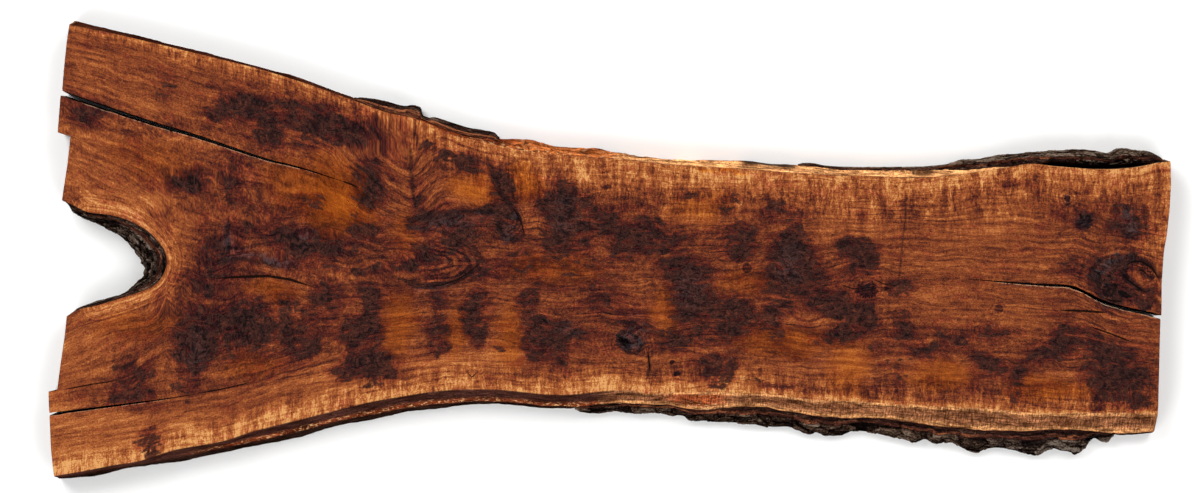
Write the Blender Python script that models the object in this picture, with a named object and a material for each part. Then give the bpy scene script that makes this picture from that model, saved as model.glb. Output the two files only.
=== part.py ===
"""A forked slab of walnut, sawn from the crotch of a trunk and lying on its flat underside.

The wood is one solid: a loft of rings that follow its sawn ends, its live edges and the bay of the
fork, cut by three drying cracks and a few knot pits. Four patches of bark still cling to the live
edges, each a ridged strip that follows the wood a hair away from it.

Metres, +Z up, +X along the slab from the two limbs to the single trunk end. The origin is below the
middle of the object's box, on the surface it lies on.
"""
import bpy
import bmesh
import numpy as np

# Driving sizes, in metres
LENGTH = 1.80
THICKNESS = 0.055
EYE_HEIGHT = 4.55
TOUCH_GAP = 0.0004
BARK_CLEAR = 0.0015

# The plan is drawn in units of a sheet 1200 wide and 493 high, x to the right and y down. It shows
# the slab from EYE_HEIGHT above its top face, so what lies lower is drawn a little smaller.
SHEET_CENTRE = np.array([600.0, 246.5])
SHEET_LEFT = 48.8
SHEET_RIGHT = 1170.8
UNIT = LENGTH / (SHEET_RIGHT - SHEET_LEFT)

# Depths of the wood's rings below the top face: border, eased edge, middle, foot and underside
EASE_DEPTH = 0.003
RING_DEPTHS = np.array([0.0, EASE_DEPTH, 0.55 * THICKNESS, 0.85 * THICKNESS, THICKNESS])
EASE_SHARE = 0.14
SOLE_TUCK = 0.30

# How the live edges wander below the top face, in sheet units: amount and wave length at mid-height
# and at the foot, and the stretch by each sawn end where they run even
MIDDLE_WANDER = (0.45, 34)
FOOT_WANDER = (0.35, 26)
EVEN_REACH = 30
UPPER_EDGE_SEED = 11
LOWER_EDGE_SEED = 23
WAVE_STRETCH = (0.6, 1.7)
WAVE_STRENGTH = (0.5, 1.0)

# Spacing of the stations along the border, in sheet units
PLAIN_SPACING = 11.0
BARK_SPACING = 5.0
END_SPACING = 24.0

# Upper live edge: border of the top face, and the wood's widest line near the underside
UPPER_TOP = [
    (69.6, 24.9), (118.6, 35.0), (153, 43.0), (191, 52.3), (229.6, 62.0), (250, 67.0), (280, 76.5),
    (305, 86.0), (330, 94.5), (355, 102.0), (385, 112.0), (418, 120.0), (433, 126.0), (450, 134.5),
    (466, 138.3), (498, 145.4), (530, 151.8), (562, 155.5), (593, 157.0), (625, 159.8), (657, 163.8),
    (698, 166.6), (746, 169.4), (793.5, 173.3), (841, 175.7), (873, 176.5), (917, 178.0), (939, 177.0),
    (961.6, 174.8), (984, 171.0), (1006, 168.0), (1035, 164.2), (1051, 166.3), (1073, 168.0),
    (1095.5, 169.6), (1118, 169.2), (1140, 167.0), (1156, 163.8), (1170.3, 161.6),
]
UPPER_FOOT = [
    (69.6, 20.9), (118.6, 31.6), (153, 40.0), (191, 49.0), (229.6, 58.7), (268, 69.0), (300, 77.5),
    (321.7, 86.3), (355, 98.7), (371, 103.5), (385, 107.6), (400, 112.0), (418, 116.0), (433, 121.0),
    (449, 126.5), (465, 130.7), (481, 134.2), (497, 137.6), (517, 138.0), (529.7, 139.5), (552, 144.6),
    (585.5, 147.5), (617.4, 151.8), (649, 157.4), (673, 159.3), (700, 160.0), (745, 160.5), (787, 164.4),
    (815.8, 165.3), (841, 168.6), (873, 169.4), (905, 169.4), (939, 169.0), (961, 168.4), (984, 166.6),
    (1006, 164.6), (1035, 161.8), (1051, 164.5), (1073, 166.3), (1095.5, 167.8), (1118, 167.5),
    (1140, 165.2), (1156, 161.9), (1170.3, 159.8),
]

# Lower live edge: border of the top face, the arris halfway down its slope, and the widest line
LOWER_TOP = [
    (54.2, 475.8), (86, 470.5), (114.8, 464.8), (134, 462.0), (172, 450.4), (229.6, 439.0), (250, 432.0),
    (274, 425.7), (321.7, 413.8), (369.6, 401.8), (401.5, 396.2), (425.4, 392.3), (449, 389.6),
    (473, 389.0), (500, 389.4), (521.7, 391.6), (545.7, 394.0), (569.6, 394.3), (588.7, 392.4),
    (617.4, 390.0), (633.4, 390.3), (646, 393.2), (665, 392.4), (700, 391.5), (745.7, 392.9),
    (777.6, 394.8), (809.4, 398.8), (857, 401.2), (900, 404.2), (939, 406.3), (984, 408.0),
    (1028.6, 412.5), (1118, 412.5), (1157.6, 413.0),
]
LOWER_MIDDLE = [
    (54.2, 477.0), (86, 472.5), (118, 466.8), (145, 462.5), (172, 457.0), (229.6, 445.0), (250, 441.0),
    (298, 429.7), (345.7, 417.8), (369.6, 413.8), (393.5, 409.0), (417.4, 405.0), (441.3, 402.6),
    (473, 401.0), (500, 401.0), (513.8, 402.0), (545.7, 405.0), (588.7, 405.6), (601.5, 404.6),
    (625.4, 402.8), (657, 404.6), (673, 404.8), (681, 407.6), (722, 408.3), (745.7, 407.2),
    (769.6, 407.6), (785.5, 410.7), (817, 415.5), (833, 417.4), (865, 417.4), (900, 420.3),
    (939, 426.3), (984, 429.7), (1028.6, 431.3), (1051, 429.6), (1073, 429.2), (1095.5, 431.3),
    (1140, 432.3), (1157.6, 430.6),
]
LOWER_FOOT = [
    (54.2, 478.3), (76.5, 477.2), (99.5, 474.4), (118.6, 469.6), (145.4, 464.8), (181.7, 461.0),
    (200.9, 456.2), (250, 446.5), (298, 436.9), (321.7, 429.7), (345.7, 424.2), (369.6, 420.2),
    (393.5, 414.6), (417.4, 410.6), (441.3, 408.2), (473, 404.4), (505.8, 404.4), (526.5, 406.8),
    (560, 408.6), (577, 408.6), (601, 408.0), (625, 406.6), (657, 408.0), (681, 411.0), (722, 411.5),
    (745.7, 410.5), (769.6, 411.0), (785.5, 413.5), (817, 418.0), (833, 420.0), (865, 420.0),
    (900, 423.0), (939, 429.0), (984, 432.0), (1028.6, 433.2), (1051, 431.8), (1073, 431.6),
    (1095.5, 433.5), (1140, 434.6), (1157.6, 432.4),
]

# Sawn ends, from the top of the sheet down at the right, and from the bottom up at the left
RIGHT_END = [
    (1170.3, 161.6), (1170.0, 180.4), (1170.8, 184.8), (1169.2, 211.6), (1165.8, 238.4),
    (1163.6, 251.8), (1161.4, 283.5), (1160.7, 317.0), (1159.2, 361.6), (1158.0, 406.0), (1157.6, 413.0),
]
LOWER_LIMB_END = [
    (54.2, 475.8), (51.3, 450.4), (49.6, 414.5), (48.8, 392.0), (57.4, 390.2), (60.8, 364.4),
    (65.0, 335.7), (67.0, 316.5),
]
UPPER_LIMB_END = [
    (62.2, 200.0), (67.9, 162.6), (70.8, 136.2), (58.0, 132.0), (61.2, 96.6), (64.0, 70.8), (67.0, 42.0),
    (69.6, 24.9),
]

# Bay of the fork, from the upper limb round to the lower one: each point of the wood's border is
# paired with the point of the bark's outer line that it looks towards
BAY_WOOD = [
    (62.2, 200.0), (72.7, 204.7), (86, 211.4), (107, 214.3), (122.4, 218.0), (137.7, 224.8),
    (151, 233.4), (158.8, 242.0), (164.5, 250.0), (166.8, 258.5), (166, 268.7), (162.6, 276.4),
    (156, 284.0), (145.4, 289.7), (130, 295.5), (114.8, 300.3), (95.7, 306.0), (76.5, 310.8), (67, 316.5),
]
BAY_BARK = [
    (63.0, 205.5), (69, 212.0), (80, 218.5), (94, 226.0), (107, 231.5), (120, 239.0), (130, 247.5),
    (136, 254.5), (139.5, 260.5), (141.6, 265.5), (140.9, 271.5), (138.5, 276.5), (133, 281.5),
    (125.5, 287.5), (114.8, 295.0), (103, 299.2), (88, 302.6), (74, 308.0), (66.5, 314.0),
]
BAY_SLOPE = 0.30
BAY_MIDDLE_SLOPE = 0.18
BAY_STATIONS = 40

# Outer lines of the bark on the long edges
UPPER_LEFT_BARK = [
    (352, 96.8), (371, 98.6), (385.5, 101.6), (400, 105.4), (412.6, 105.6), (417.5, 108.4),
    (419.5, 113.0), (433, 117.2), (449, 122.2), (465, 127.2), (481, 130.2), (492, 132.3), (499, 135.8),
]
UPPER_RIGHT_BARK = [
    (800, 162.9), (815.8, 163.2), (825.4, 165.2), (841, 166.4), (873, 167.0), (900, 166.8), (930, 166.2),
    (952.7, 163.4), (966, 159.8), (984, 159.2), (1001.8, 155.4), (1019.6, 153.6), (1044, 151.0),
    (1062, 150.2), (1086.6, 149.8), (1100, 151.0), (1113.4, 153.6), (1120, 149.4), (1140, 149.6),
    (1155.8, 151.3), (1162.5, 154.7), (1168, 157.6),
]
LOWER_BARK = [
    (574, 411.2), (596.7, 413.4), (612.6, 411.2), (630, 413.4), (657, 412.6), (673, 415.2), (686, 416.8),
    (690, 419.5), (706, 421.0), (729.7, 422.4), (753.6, 424.3), (777.6, 427.5), (793.5, 427.5),
    (803, 430.7), (814, 434.3), (819, 432.6), (830, 435.5), (844.5, 435.0), (852.5, 431.8), (865, 431.0),
    (879.6, 433.0), (900, 437.5), (912.5, 439.7), (921.4, 443.0), (930.4, 439.7), (939.3, 443.8),
    (957, 442.0), (966, 447.5), (984, 451.3), (993, 448.7), (1017, 449.8), (1028.6, 453.6),
    (1042, 454.2), (1051, 448.7), (1068.8, 450.9), (1091, 447.5), (1094.4, 442.0), (1113.4, 440.6),
    (1118.5, 438.0),
]

# The hollow behind the loose bark at the upper right: where it starts and ends, how far the bark
# stands off there, and the depth that it reaches down from the top face
HOLLOW_START = 1034.0
HOLLOW_END = 1158.0
HOLLOW_WIDTH = 7.5
HOLLOW_DEPTH = 0.034
HOLLOW_OPENING = 1.9
HOLLOW_CLOSING = 3.0

# Cracks: their middle line from the mouth at a sawn end to the tip, and the width at the mouth
UPPER_CRACK = [
    (52, 91.0), (66, 95.8), (86, 102.3), (122.4, 114.3), (158.8, 126.0), (191, 135.3), (229.6, 148.3),
    (267.8, 160.7), (300, 168.4), (346, 182.3),
]
LOWER_CRACK = [(42, 416.0), (76.5, 410.6), (107, 406.7), (134, 403.2), (172, 398.0), (201, 393.0)]
RIGHT_CRACK = [
    (1170, 318.5), (1151, 314.3), (1135.7, 310.8), (1118, 306.6), (1106.7, 303.2), (1095.5, 298.2),
    (1086.6, 293.2), (1073, 287.4), (1051, 285.2), (1028.6, 283.9), (1006, 282.2), (966, 279.0),
]
UPPER_CRACK_WIDTH = 0.0078
LOWER_CRACK_WIDTH = 0.0045
RIGHT_CRACK_WIDTH = 0.0062
CRACK_TIP_WIDTH = 0.0006
CRACK_TIP_DEPTH = 0.008
CRACK_OVERRUN = 0.006
CRACK_TAPER = 0.6
CRACK_DEPTH_TAPER = 1.6
CRACK_TOP_SHARE = 0.5
CRACK_FLOOR_SHARE = 0.2
STATIONS_PER_POINT = 3

# Knot pits: middle on the sheet, radius along and across the slab, and depth, in metres
KNOT_PITS = {
    "middle_knot": ((628.0, 344.0), 0.013, 0.015, 0.009),
    "end_knot_upper": ((1119.0, 268.0), 0.017, 0.009, 0.005),
    "end_knot_lower": ((1141.0, 288.0), 0.012, 0.009, 0.006),
}
PIT_LIFT = 0.0007

# Finishes: colour as red, green and blue, linear, and roughness. Edges sharper than SHARP_ANGLE, in
# radians, are drawn sharp
WALNUT = (0.250, 0.075, 0.022)
WALNUT_ROUGHNESS = 0.35
BARK = (0.045, 0.028, 0.020)
BARK_ROUGHNESS = 0.9
SHARP_ANGLE = 0.7


def clear_scene():
    """Takes every object out of the open file."""
    for old in list(bpy.data.objects):
        bpy.data.objects.remove(old, do_unlink=True)


def finish(name, colour, roughness):
    """A plain Principled material."""
    material = bpy.data.materials.new(name)
    material.use_nodes = True
    shader = material.node_tree.nodes["Principled BSDF"]
    shader.inputs["Base Color"].default_value = (*colour, 1.0)
    shader.inputs["Roughness"].default_value = roughness
    shader.inputs["Metallic"].default_value = 0.0
    return material


def collection(name):
    """A new collection linked to the scene."""
    group = bpy.data.collections.new(name)
    bpy.context.scene.collection.children.link(group)
    return group


def spread(start, end, spacing):
    """Even values from start to end, about spacing apart."""
    count = max(2, round(abs(end - start) / spacing) + 1)
    return np.linspace(start, end, count)


def smooth(knots, values, at):
    """A smooth line through values at the knots: between two knots a cubic, whose slope at each
    knot is that of the curve through the knot and its two neighbours."""
    knots = np.asarray(knots, float)
    values = np.asarray(values, float)
    slopes = np.gradient(values, knots)
    i = np.clip(np.searchsorted(knots, at) - 1, 0, len(knots) - 2)
    width = knots[i + 1] - knots[i]
    t = (at - knots[i]) / width
    rise = t * t * (3 - 2 * t)
    return (
        values[i] * (1 - rise)
        + values[i + 1] * rise
        + slopes[i] * width * t * (1 - t) ** 2
        - slopes[i + 1] * width * t * t * (1 - t)
    )


def line_at(points, x):
    """Points of a long edge's line at each x, with y from the smooth line through its points."""
    knots, values = np.array(points, float).T
    return np.column_stack([x, smooth(knots, values, x)])


def run_along(points):
    """Length along a line of points, from 0 at its start."""
    return np.concatenate([[0], np.cumsum(np.linalg.norm(np.diff(points, axis=0), axis=1))])


def path_at(points, share):
    """Points of a curve through points, at shares of its length from 0 to 1."""
    points = np.array(points, float)
    run = run_along(points)
    at = np.asarray(share) * run[-1]
    return np.column_stack([smooth(run, points[:, 0], at), smooth(run, points[:, 1], at)])


def lowered(points, depth, along=0.0):
    """Where sheet points lie in plan if what they show is depth below the top face: further from
    the sheet's centre in y, and in x by the share along."""
    growth = depth / EYE_HEIGHT
    count = len(points)
    scale = np.column_stack([1 + growth * np.broadcast_to(along, count), np.full(count, 1 + growth)])
    return SHEET_CENTRE + (points - SHEET_CENTRE) * scale


def waves(along, seed, length, count=4):
    """A seeded uneven line between about -1 and 1: a sum of sine waves round one length."""
    rng = np.random.default_rng(seed)
    total = np.zeros(np.shape(along))
    for _ in range(count):
        stretch = length * rng.uniform(*WAVE_STRETCH)
        strength = rng.uniform(*WAVE_STRENGTH)
        phase = rng.uniform(0, 2 * np.pi)
        total = total + strength * np.sin(2 * np.pi * along / stretch + phase)
    return total / (np.mean(WAVE_STRENGTH) * count)


def wall(top, middle, foot):
    """The five rings of a stretch of the border, from its line at the top face, at mid-height and
    at the foot: shape (5, stations, 2)."""
    ease = top + (middle - top) * EASE_SHARE
    sole = foot + (middle - foot) * SOLE_TUCK
    return np.stack([top, ease, middle, foot, sole])


def edge_wall(x, top, middle, foot, seed):
    """Rings of a long live edge at the stations x. The lower lines are a little uneven, and even
    out towards the sawn ends."""
    quiet = np.clip(np.minimum(x - x.min(), x.max() - x) / EVEN_REACH, 0, 1)
    middle_line = lowered(line_at(middle, x), RING_DEPTHS[2])
    foot_line = lowered(line_at(foot, x), RING_DEPTHS[3])
    middle_line[:, 1] += MIDDLE_WANDER[0] * quiet * waves(x, seed, MIDDLE_WANDER[1])
    foot_line[:, 1] += FOOT_WANDER[0] * quiet * waves(x, seed + 1, FOOT_WANDER[1])
    return wall(line_at(top, x), middle_line, foot_line)


def end_wall(corners):
    """Rings of a sawn end, upright all the way: its corners and even points between them, without
    the first and last corner, which belong to its neighbours."""
    corners = np.array(corners, float)
    points = [
        a + (b - a) * share
        for a, b in zip(corners[:-1], corners[1:])
        for share in spread(0, 1, END_SPACING / max(np.linalg.norm(b - a), 1.0))[:-1]
    ]
    line = np.array(points[1:])
    return wall(line, line, line)


def bay_lines():
    """The bay's stations: the wood's border, and the bark's outer line as it lies near its foot."""
    share = np.linspace(0, 1, BAY_STATIONS)
    wood = path_at(BAY_WOOD, share)
    knots = np.linspace(0, 1, len(BAY_WOOD))
    run = run_along(BAY_WOOD)
    partner = np.interp(share, run / run[-1], knots)
    pairs = np.array(BAY_BARK, float)
    bark = np.column_stack([smooth(knots, pairs[:, 0], partner), smooth(knots, pairs[:, 1], partner)])
    bark = lowered(bark, RING_DEPTHS[3], along=np.sin(np.pi * share) ** 2)
    return wood, bark


def to_metres(points):
    """Sheet points, x right and y down, as metres, x right and y up."""
    return (points - SHEET_CENTRE) * [UNIT, -UNIT]


def border():
    """Rings of the whole border, clockwise on the sheet from the top left corner, and the first and
    last station of each barked stretch with its outer line."""
    upper_x = np.unique(np.concatenate([
        spread(UPPER_TOP[0][0], UPPER_LEFT_BARK[0][0], PLAIN_SPACING),
        spread(UPPER_LEFT_BARK[0][0], UPPER_LEFT_BARK[-1][0], BARK_SPACING),
        spread(UPPER_LEFT_BARK[-1][0], UPPER_RIGHT_BARK[0][0], PLAIN_SPACING),
        spread(UPPER_RIGHT_BARK[0][0], UPPER_RIGHT_BARK[-1][0], BARK_SPACING),
        [UPPER_TOP[-1][0]],
    ]))
    lower_x = np.unique(np.concatenate([
        spread(LOWER_TOP[0][0], LOWER_BARK[0][0], PLAIN_SPACING),
        spread(LOWER_BARK[0][0], LOWER_BARK[-1][0], BARK_SPACING),
        spread(LOWER_BARK[-1][0], LOWER_TOP[-1][0], PLAIN_SPACING),
    ]))[::-1]
    half_way = (line_at(UPPER_TOP, upper_x) + line_at(UPPER_FOOT, upper_x)) / 2
    upper = edge_wall(upper_x, UPPER_TOP, half_way, UPPER_FOOT, UPPER_EDGE_SEED)
    lower = edge_wall(lower_x, LOWER_TOP, LOWER_MIDDLE, LOWER_FOOT, LOWER_EDGE_SEED)
    bay_wood, bay_bark = bay_lines()
    bay = wall(
        bay_wood,
        bay_wood + (bay_bark - bay_wood) * BAY_MIDDLE_SLOPE,
        bay_wood + (bay_bark - bay_wood) * BAY_SLOPE,
    )[:, ::-1]
    parts = [upper, end_wall(RIGHT_END), lower, end_wall(LOWER_LIMB_END), bay, end_wall(UPPER_LIMB_END)]
    starts = np.concatenate([[0], np.cumsum([part.shape[1] for part in parts])])

    def stretch(part, values, line):
        """Stations of one part whose x lies on a bark's line, and that line there."""
        inside = np.flatnonzero((values >= line[0][0]) & (values <= line[-1][0]))
        outer = lowered(line_at(line, values[inside]), RING_DEPTHS[3])
        return starts[part] + inside, outer

    barked = {
        "bark_upper_left": stretch(0, upper_x, UPPER_LEFT_BARK),
        "bark_upper_right": stretch(0, upper_x, UPPER_RIGHT_BARK),
        "bark_lower": stretch(2, lower_x, LOWER_BARK),
        "bark_fork": (starts[4] + np.arange(1, BAY_STATIONS - 1), bay_bark[::-1][1:-1]),
    }
    return np.concatenate(parts, axis=1), barked


def outward(ring):
    """Unit normals of a closed ring of points, clockwise on the sheet, pointing off the wood."""
    along = np.roll(ring, -1, axis=0) - np.roll(ring, 1, axis=0)
    normal = np.column_stack([along[:, 1], -along[:, 0]])
    return normal / np.linalg.norm(normal, axis=1, keepdims=True)


def lattice_faces(rows, columns, closed):
    """Triangles of a lattice of rows and columns of points, each square cut along the same
    diagonal; a closed lattice joins its last column to its first."""
    squares_across = columns if closed else columns - 1
    row, column = np.meshgrid(np.arange(rows - 1), np.arange(squares_across), indexing="ij")
    following = (column + 1) % columns
    a, b = row * columns + column, row * columns + following
    c, d = (row + 1) * columns + following, (row + 1) * columns + column
    triangles = np.stack([a, b, c], -1), np.stack([a, c, d], -1)
    return np.concatenate([each.reshape(-1, 3) for each in triangles])


def solid(name, points, faces, group, material=None):
    """An object of its own from points and faces, turned to face out."""
    mesh = bpy.data.meshes.new(name)
    mesh.from_pydata(points.tolist(), [], [list(map(int, face)) for face in faces])
    shape = bmesh.new()
    shape.from_mesh(mesh)
    bmesh.ops.recalc_face_normals(shape, faces=shape.faces)
    shape.to_mesh(mesh)
    shape.free()
    part = bpy.data.objects.new(name, mesh)
    group.objects.link(part)
    if material:
        mesh.materials.append(material)
        mesh.shade_smooth()
        mesh.set_sharp_from_angle(angle=SHARP_ANGLE)
    return part


def wood_points(rings):
    """The rings as points in metres, one ring after another."""
    heights = THICKNESS - RING_DEPTHS
    return np.concatenate([
        np.column_stack([to_metres(ring), np.full(len(ring), height)])
        for ring, height in zip(rings, heights)
    ])


def wood_faces(rings):
    """The wall between the rings, and one flat face at the top and one at the underside."""
    rows, columns = rings.shape[:2]
    top = np.arange(columns)
    sole = (rows - 1) * columns + np.arange(columns)
    return [*lattice_faces(rows, columns, closed=True), top, sole[::-1]]


# Each patch of bark: the first ring of the wall that it covers, how proud its upper lip stands of
# the wood, as a share of its full reach, and the depth of its furrows in metres
BARK_PATCHES = {
    "bark_upper_left": {"first_ring": 1, "lip": 0.55, "furrow": 0.0016, "seed": 31},
    "bark_upper_right": {"first_ring": 1, "lip": 0.70, "furrow": 0.0026, "seed": 47},
    "bark_lower": {"first_ring": 2, "lip": 0.35, "furrow": 0.0036, "seed": 59},
    "bark_fork": {"first_ring": 1, "lip": 0.22, "furrow": 0.0042, "seed": 71},
}
BARK_LEVELS = np.array([0.0, 0.16, 0.42, 0.68, 0.88, 1.0])
BARK_REACH = np.array([0.0, 0.45, 0.80, 1.0, 0.96, 0.78])
FURROW_LENGTH = 0.085
FURROW_SPACING = 0.017
FURROW_LEAN = 0.6
FINE_LEAN = 0.35
FINE_RATE = 1.7
CREST_SHARE = 0.6
PLATE_LENGTH = 0.034
PLATE_SLANT = 0.4

# Thinnest reach and stand of the bark, the reach at which its furrows have their full depth, and
# what is left of them where the bark is thin and on its lip, below LIP_REACH of the full reach
THINNEST_REACH = 0.0018
THINNEST_STAND = 0.0014
FULL_REACH = 0.012
THIN_FURROWS = 0.1
LIP_REACH = 0.6
LIP_FURROWS = 0.35


def furrows(run, down, seed):
    """Long ridges that lean and meet, between -1 in a furrow and 1 on a crest, over the run along
    the edge and the distance down it, in metres."""
    lean = FURROW_LEAN * waves(run, seed, FURROW_LENGTH)
    lean = lean + FINE_LEAN * waves(run * FINE_RATE + down, seed + 1, FURROW_LENGTH)
    crest = 1 - 2 * np.abs(np.sin(np.pi * (down / FURROW_SPACING + lean)))
    plates = waves(run + PLATE_SLANT * down, seed + 2, PLATE_LENGTH)
    return CREST_SHARE * crest + (1 - CREST_SHARE) * plates


def hollow_share(x):
    """How open the hollow behind the loose bark is at x: 0 outside it, up to 1 inside."""
    share = np.clip((x - HOLLOW_START) / (HOLLOW_END - HOLLOW_START), 0, 1)
    return np.clip(np.sin(np.pi * share) * HOLLOW_OPENING, 0, 1)


def bark_strip(rings, stations, outer, first_ring, lip, furrow, seed, hollow=False):
    """Points and faces of one patch: a lattice of closed sections along the stations, each down the
    wood's wall a touch away from it and back up the ridged outside, with a flat cap at both ends."""
    covered = rings[first_ring:, stations]
    normals = outward(rings[3])[stations]
    depths = RING_DEPTHS[first_ring:].copy()
    kept = 1 - BARK_CLEAR / (THICKNESS - RING_DEPTHS[3])
    depths[-1] = THICKNESS - BARK_CLEAR
    covered[-1] = covered[-2] + (covered[-1] - covered[-2]) * kept
    inner = covered + normals * (TOUCH_GAP / UNIT)
    if hollow:
        left = np.clip(HOLLOW_CLOSING * (1 - depths / HOLLOW_DEPTH), 0, 1)
        gap = HOLLOW_WIDTH * hollow_share(covered[0, :, 0]) * left[:, None]
        inner = inner + normals * gap[..., None]
    top, bottom = depths[0], depths[-1]
    levels = top + (bottom - top) * BARK_LEVELS
    reach = np.where(BARK_LEVELS < 0.5, lip + (1 - lip) * BARK_REACH, BARK_REACH)
    to_outer = outer - covered[-2]
    thickness = np.maximum(np.sum(to_outer * normals, axis=1), THINNEST_REACH / UNIT)
    furrow_depth = furrow / UNIT * np.clip(thickness * UNIT / FULL_REACH, THIN_FURROWS, 1)
    run = run_along(outer) * UNIT
    outside = []
    for level, share in zip(levels, reach):
        backing = np.array([
            [np.interp(level, depths, covered[:, i, axis]) for axis in (0, 1)]
            for i in range(len(stations))
        ])
        relief = furrow_depth * furrows(run, level, seed) * (LIP_FURROWS if share < LIP_REACH else 1.0)
        stand = np.maximum(thickness * share + relief, THINNEST_STAND / UNIT)
        base = inner[0] if share == reach[0] else backing + normals * (TOUCH_GAP / UNIT)
        outside.append(base + normals * stand[:, None])
    section = np.concatenate([inner, np.array(outside)[::-1]])
    heights = THICKNESS - np.concatenate([depths, levels[::-1]])
    rows, columns = section.shape[:2]
    points = np.concatenate([
        np.column_stack([to_metres(row), np.full(columns, height)])
        for row, height in zip(section, heights)
    ])
    around = np.concatenate([np.arange(rows), [0]])
    faces = lattice_faces(rows + 1, columns, closed=False)
    row, column = np.divmod(faces, columns)
    faces = around[row] * columns + column
    first = np.arange(rows) * columns
    return points, [*faces, first, (first + columns - 1)[::-1]]


def crack_cutter(name, line, mouth_width, shift, group):
    """A wedge along a crack's line: right through the slab at the mouth, and narrower and shallower
    towards the tip, with its walls drawing together downwards."""
    share = np.linspace(0, 1, STATIONS_PER_POINT * len(line))
    middle = path_at(line, share)
    along = np.gradient(middle, axis=0)
    side = np.column_stack([-along[:, 1], along[:, 0]]) / np.linalg.norm(along, axis=1, keepdims=True)
    width = (CRACK_TIP_WIDTH + (mouth_width - CRACK_TIP_WIDTH) * (1 - share) ** CRACK_TAPER) / UNIT
    rise = THICKNESS - CRACK_TIP_DEPTH + CRACK_OVERRUN
    floor = rise * share ** CRACK_DEPTH_TAPER - CRACK_OVERRUN
    top = np.full(len(share), THICKNESS + CRACK_OVERRUN)
    wide, narrow = CRACK_TOP_SHARE, CRACK_FLOOR_SHARE
    rows = []
    for share_of_width, height in ((wide, top), (-wide, top), (-narrow, floor), (narrow, floor)):
        plan = to_metres(middle + side * (share_of_width * width)[:, None]) + shift
        rows.append(np.column_stack([plan, height]))
    columns = len(share)
    faces = lattice_faces(5, columns, closed=False)
    faces = (faces // columns % 4) * columns + faces % columns
    ends = np.arange(4) * columns
    cutter = solid(name, np.concatenate(rows), [*faces, ends[::-1], ends + columns - 1], group)
    hide(cutter)


def pit_cutter(name, middle, along, across, depth, shift, group):
    """A flattened ball whose middle is on the top face, for a knot's pit."""
    shape = bmesh.new()
    bmesh.ops.create_icosphere(shape, subdivisions=2, radius=1.0)
    mesh = bpy.data.meshes.new(name)
    shape.to_mesh(mesh)
    shape.free()
    cutter = bpy.data.objects.new(name, mesh)
    cutter.scale = (along, across, depth)
    plan = to_metres(np.array([middle]))[0] + shift
    cutter.location = (plan[0], plan[1], THICKNESS + PIT_LIFT)
    group.objects.link(cutter)
    hide(cutter)


def hide(cutter):
    """Keeps a cutter out of renders, as wire."""
    cutter.hide_render = True
    cutter.display_type = "WIRE"


def build():
    """Builds the slab and its bark round the middle of their common box."""
    clear_scene()
    slab = collection("walnut_slab")
    cutters = collection("walnut_slab_cutters")
    wood_finish = finish("oiled_walnut", WALNUT, WALNUT_ROUGHNESS)
    bark_finish = finish("walnut_bark", BARK, BARK_ROUGHNESS)
    rings, barked = border()
    points = {"slab_wood": wood_points(rings)}
    faces = {"slab_wood": wood_faces(rings)}
    for name, patch in BARK_PATCHES.items():
        stations, outer = barked[name]
        hollow = name == "bark_upper_right"
        points[name], faces[name] = bark_strip(rings, stations, outer, hollow=hollow, **patch)
    plan = np.concatenate([each[:, :2] for each in points.values()])
    shift = -(plan.min(axis=0) + plan.max(axis=0)) / 2
    for name, each in points.items():
        each[:, :2] += shift
        material = wood_finish if name == "slab_wood" else bark_finish
        solid(name, each, faces[name], slab, material)
    crack_cutter("upper_crack", UPPER_CRACK, UPPER_CRACK_WIDTH, shift, cutters)
    crack_cutter("lower_crack", LOWER_CRACK, LOWER_CRACK_WIDTH, shift, cutters)
    crack_cutter("right_crack", RIGHT_CRACK, RIGHT_CRACK_WIDTH, shift, cutters)
    for name, (middle, along, across, depth) in KNOT_PITS.items():
        pit_cutter(name, middle, along, across, depth, shift, cutters)
    cut = bpy.data.objects["slab_wood"].modifiers.new("cracks_and_pits", "BOOLEAN")
    cut.operation = "DIFFERENCE"
    cut.solver = "EXACT"
    cut.operand_type = "COLLECTION"
    cut.collection = cutters


build()
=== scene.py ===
"""Looks of a forked walnut slab: figured wood with its live edges, cracks and knots, and furrowed bark.

The slab's outline, cracks and bark lines are the ones its solids are built from. The wood is one
closed surface made of four bands that follow the grain, and each patch of bark is a closed strip.
"""

import bpy
import numpy as np
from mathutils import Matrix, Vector


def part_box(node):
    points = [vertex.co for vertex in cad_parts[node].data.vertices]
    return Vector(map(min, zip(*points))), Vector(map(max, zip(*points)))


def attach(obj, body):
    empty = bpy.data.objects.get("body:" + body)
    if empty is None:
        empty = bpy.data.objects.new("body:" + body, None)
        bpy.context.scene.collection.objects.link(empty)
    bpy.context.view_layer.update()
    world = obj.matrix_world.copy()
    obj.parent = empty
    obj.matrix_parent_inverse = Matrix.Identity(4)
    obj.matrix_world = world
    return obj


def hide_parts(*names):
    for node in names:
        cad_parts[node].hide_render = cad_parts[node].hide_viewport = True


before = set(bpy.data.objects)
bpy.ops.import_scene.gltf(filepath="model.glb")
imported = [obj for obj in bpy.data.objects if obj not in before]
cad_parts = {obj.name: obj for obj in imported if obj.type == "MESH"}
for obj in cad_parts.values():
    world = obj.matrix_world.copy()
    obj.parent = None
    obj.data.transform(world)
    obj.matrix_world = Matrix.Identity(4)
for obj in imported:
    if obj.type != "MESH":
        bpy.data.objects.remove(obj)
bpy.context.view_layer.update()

# Sizes read from the frame, in metres
WOOD_LOW, WOOD_HIGH = (np.array(corner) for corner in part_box("slab_wood"))
THICKNESS = float(WOOD_HIGH[2] - WOOD_LOW[2])
LENGTH = float(WOOD_HIGH[0] - WOOD_LOW[0])

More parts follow.
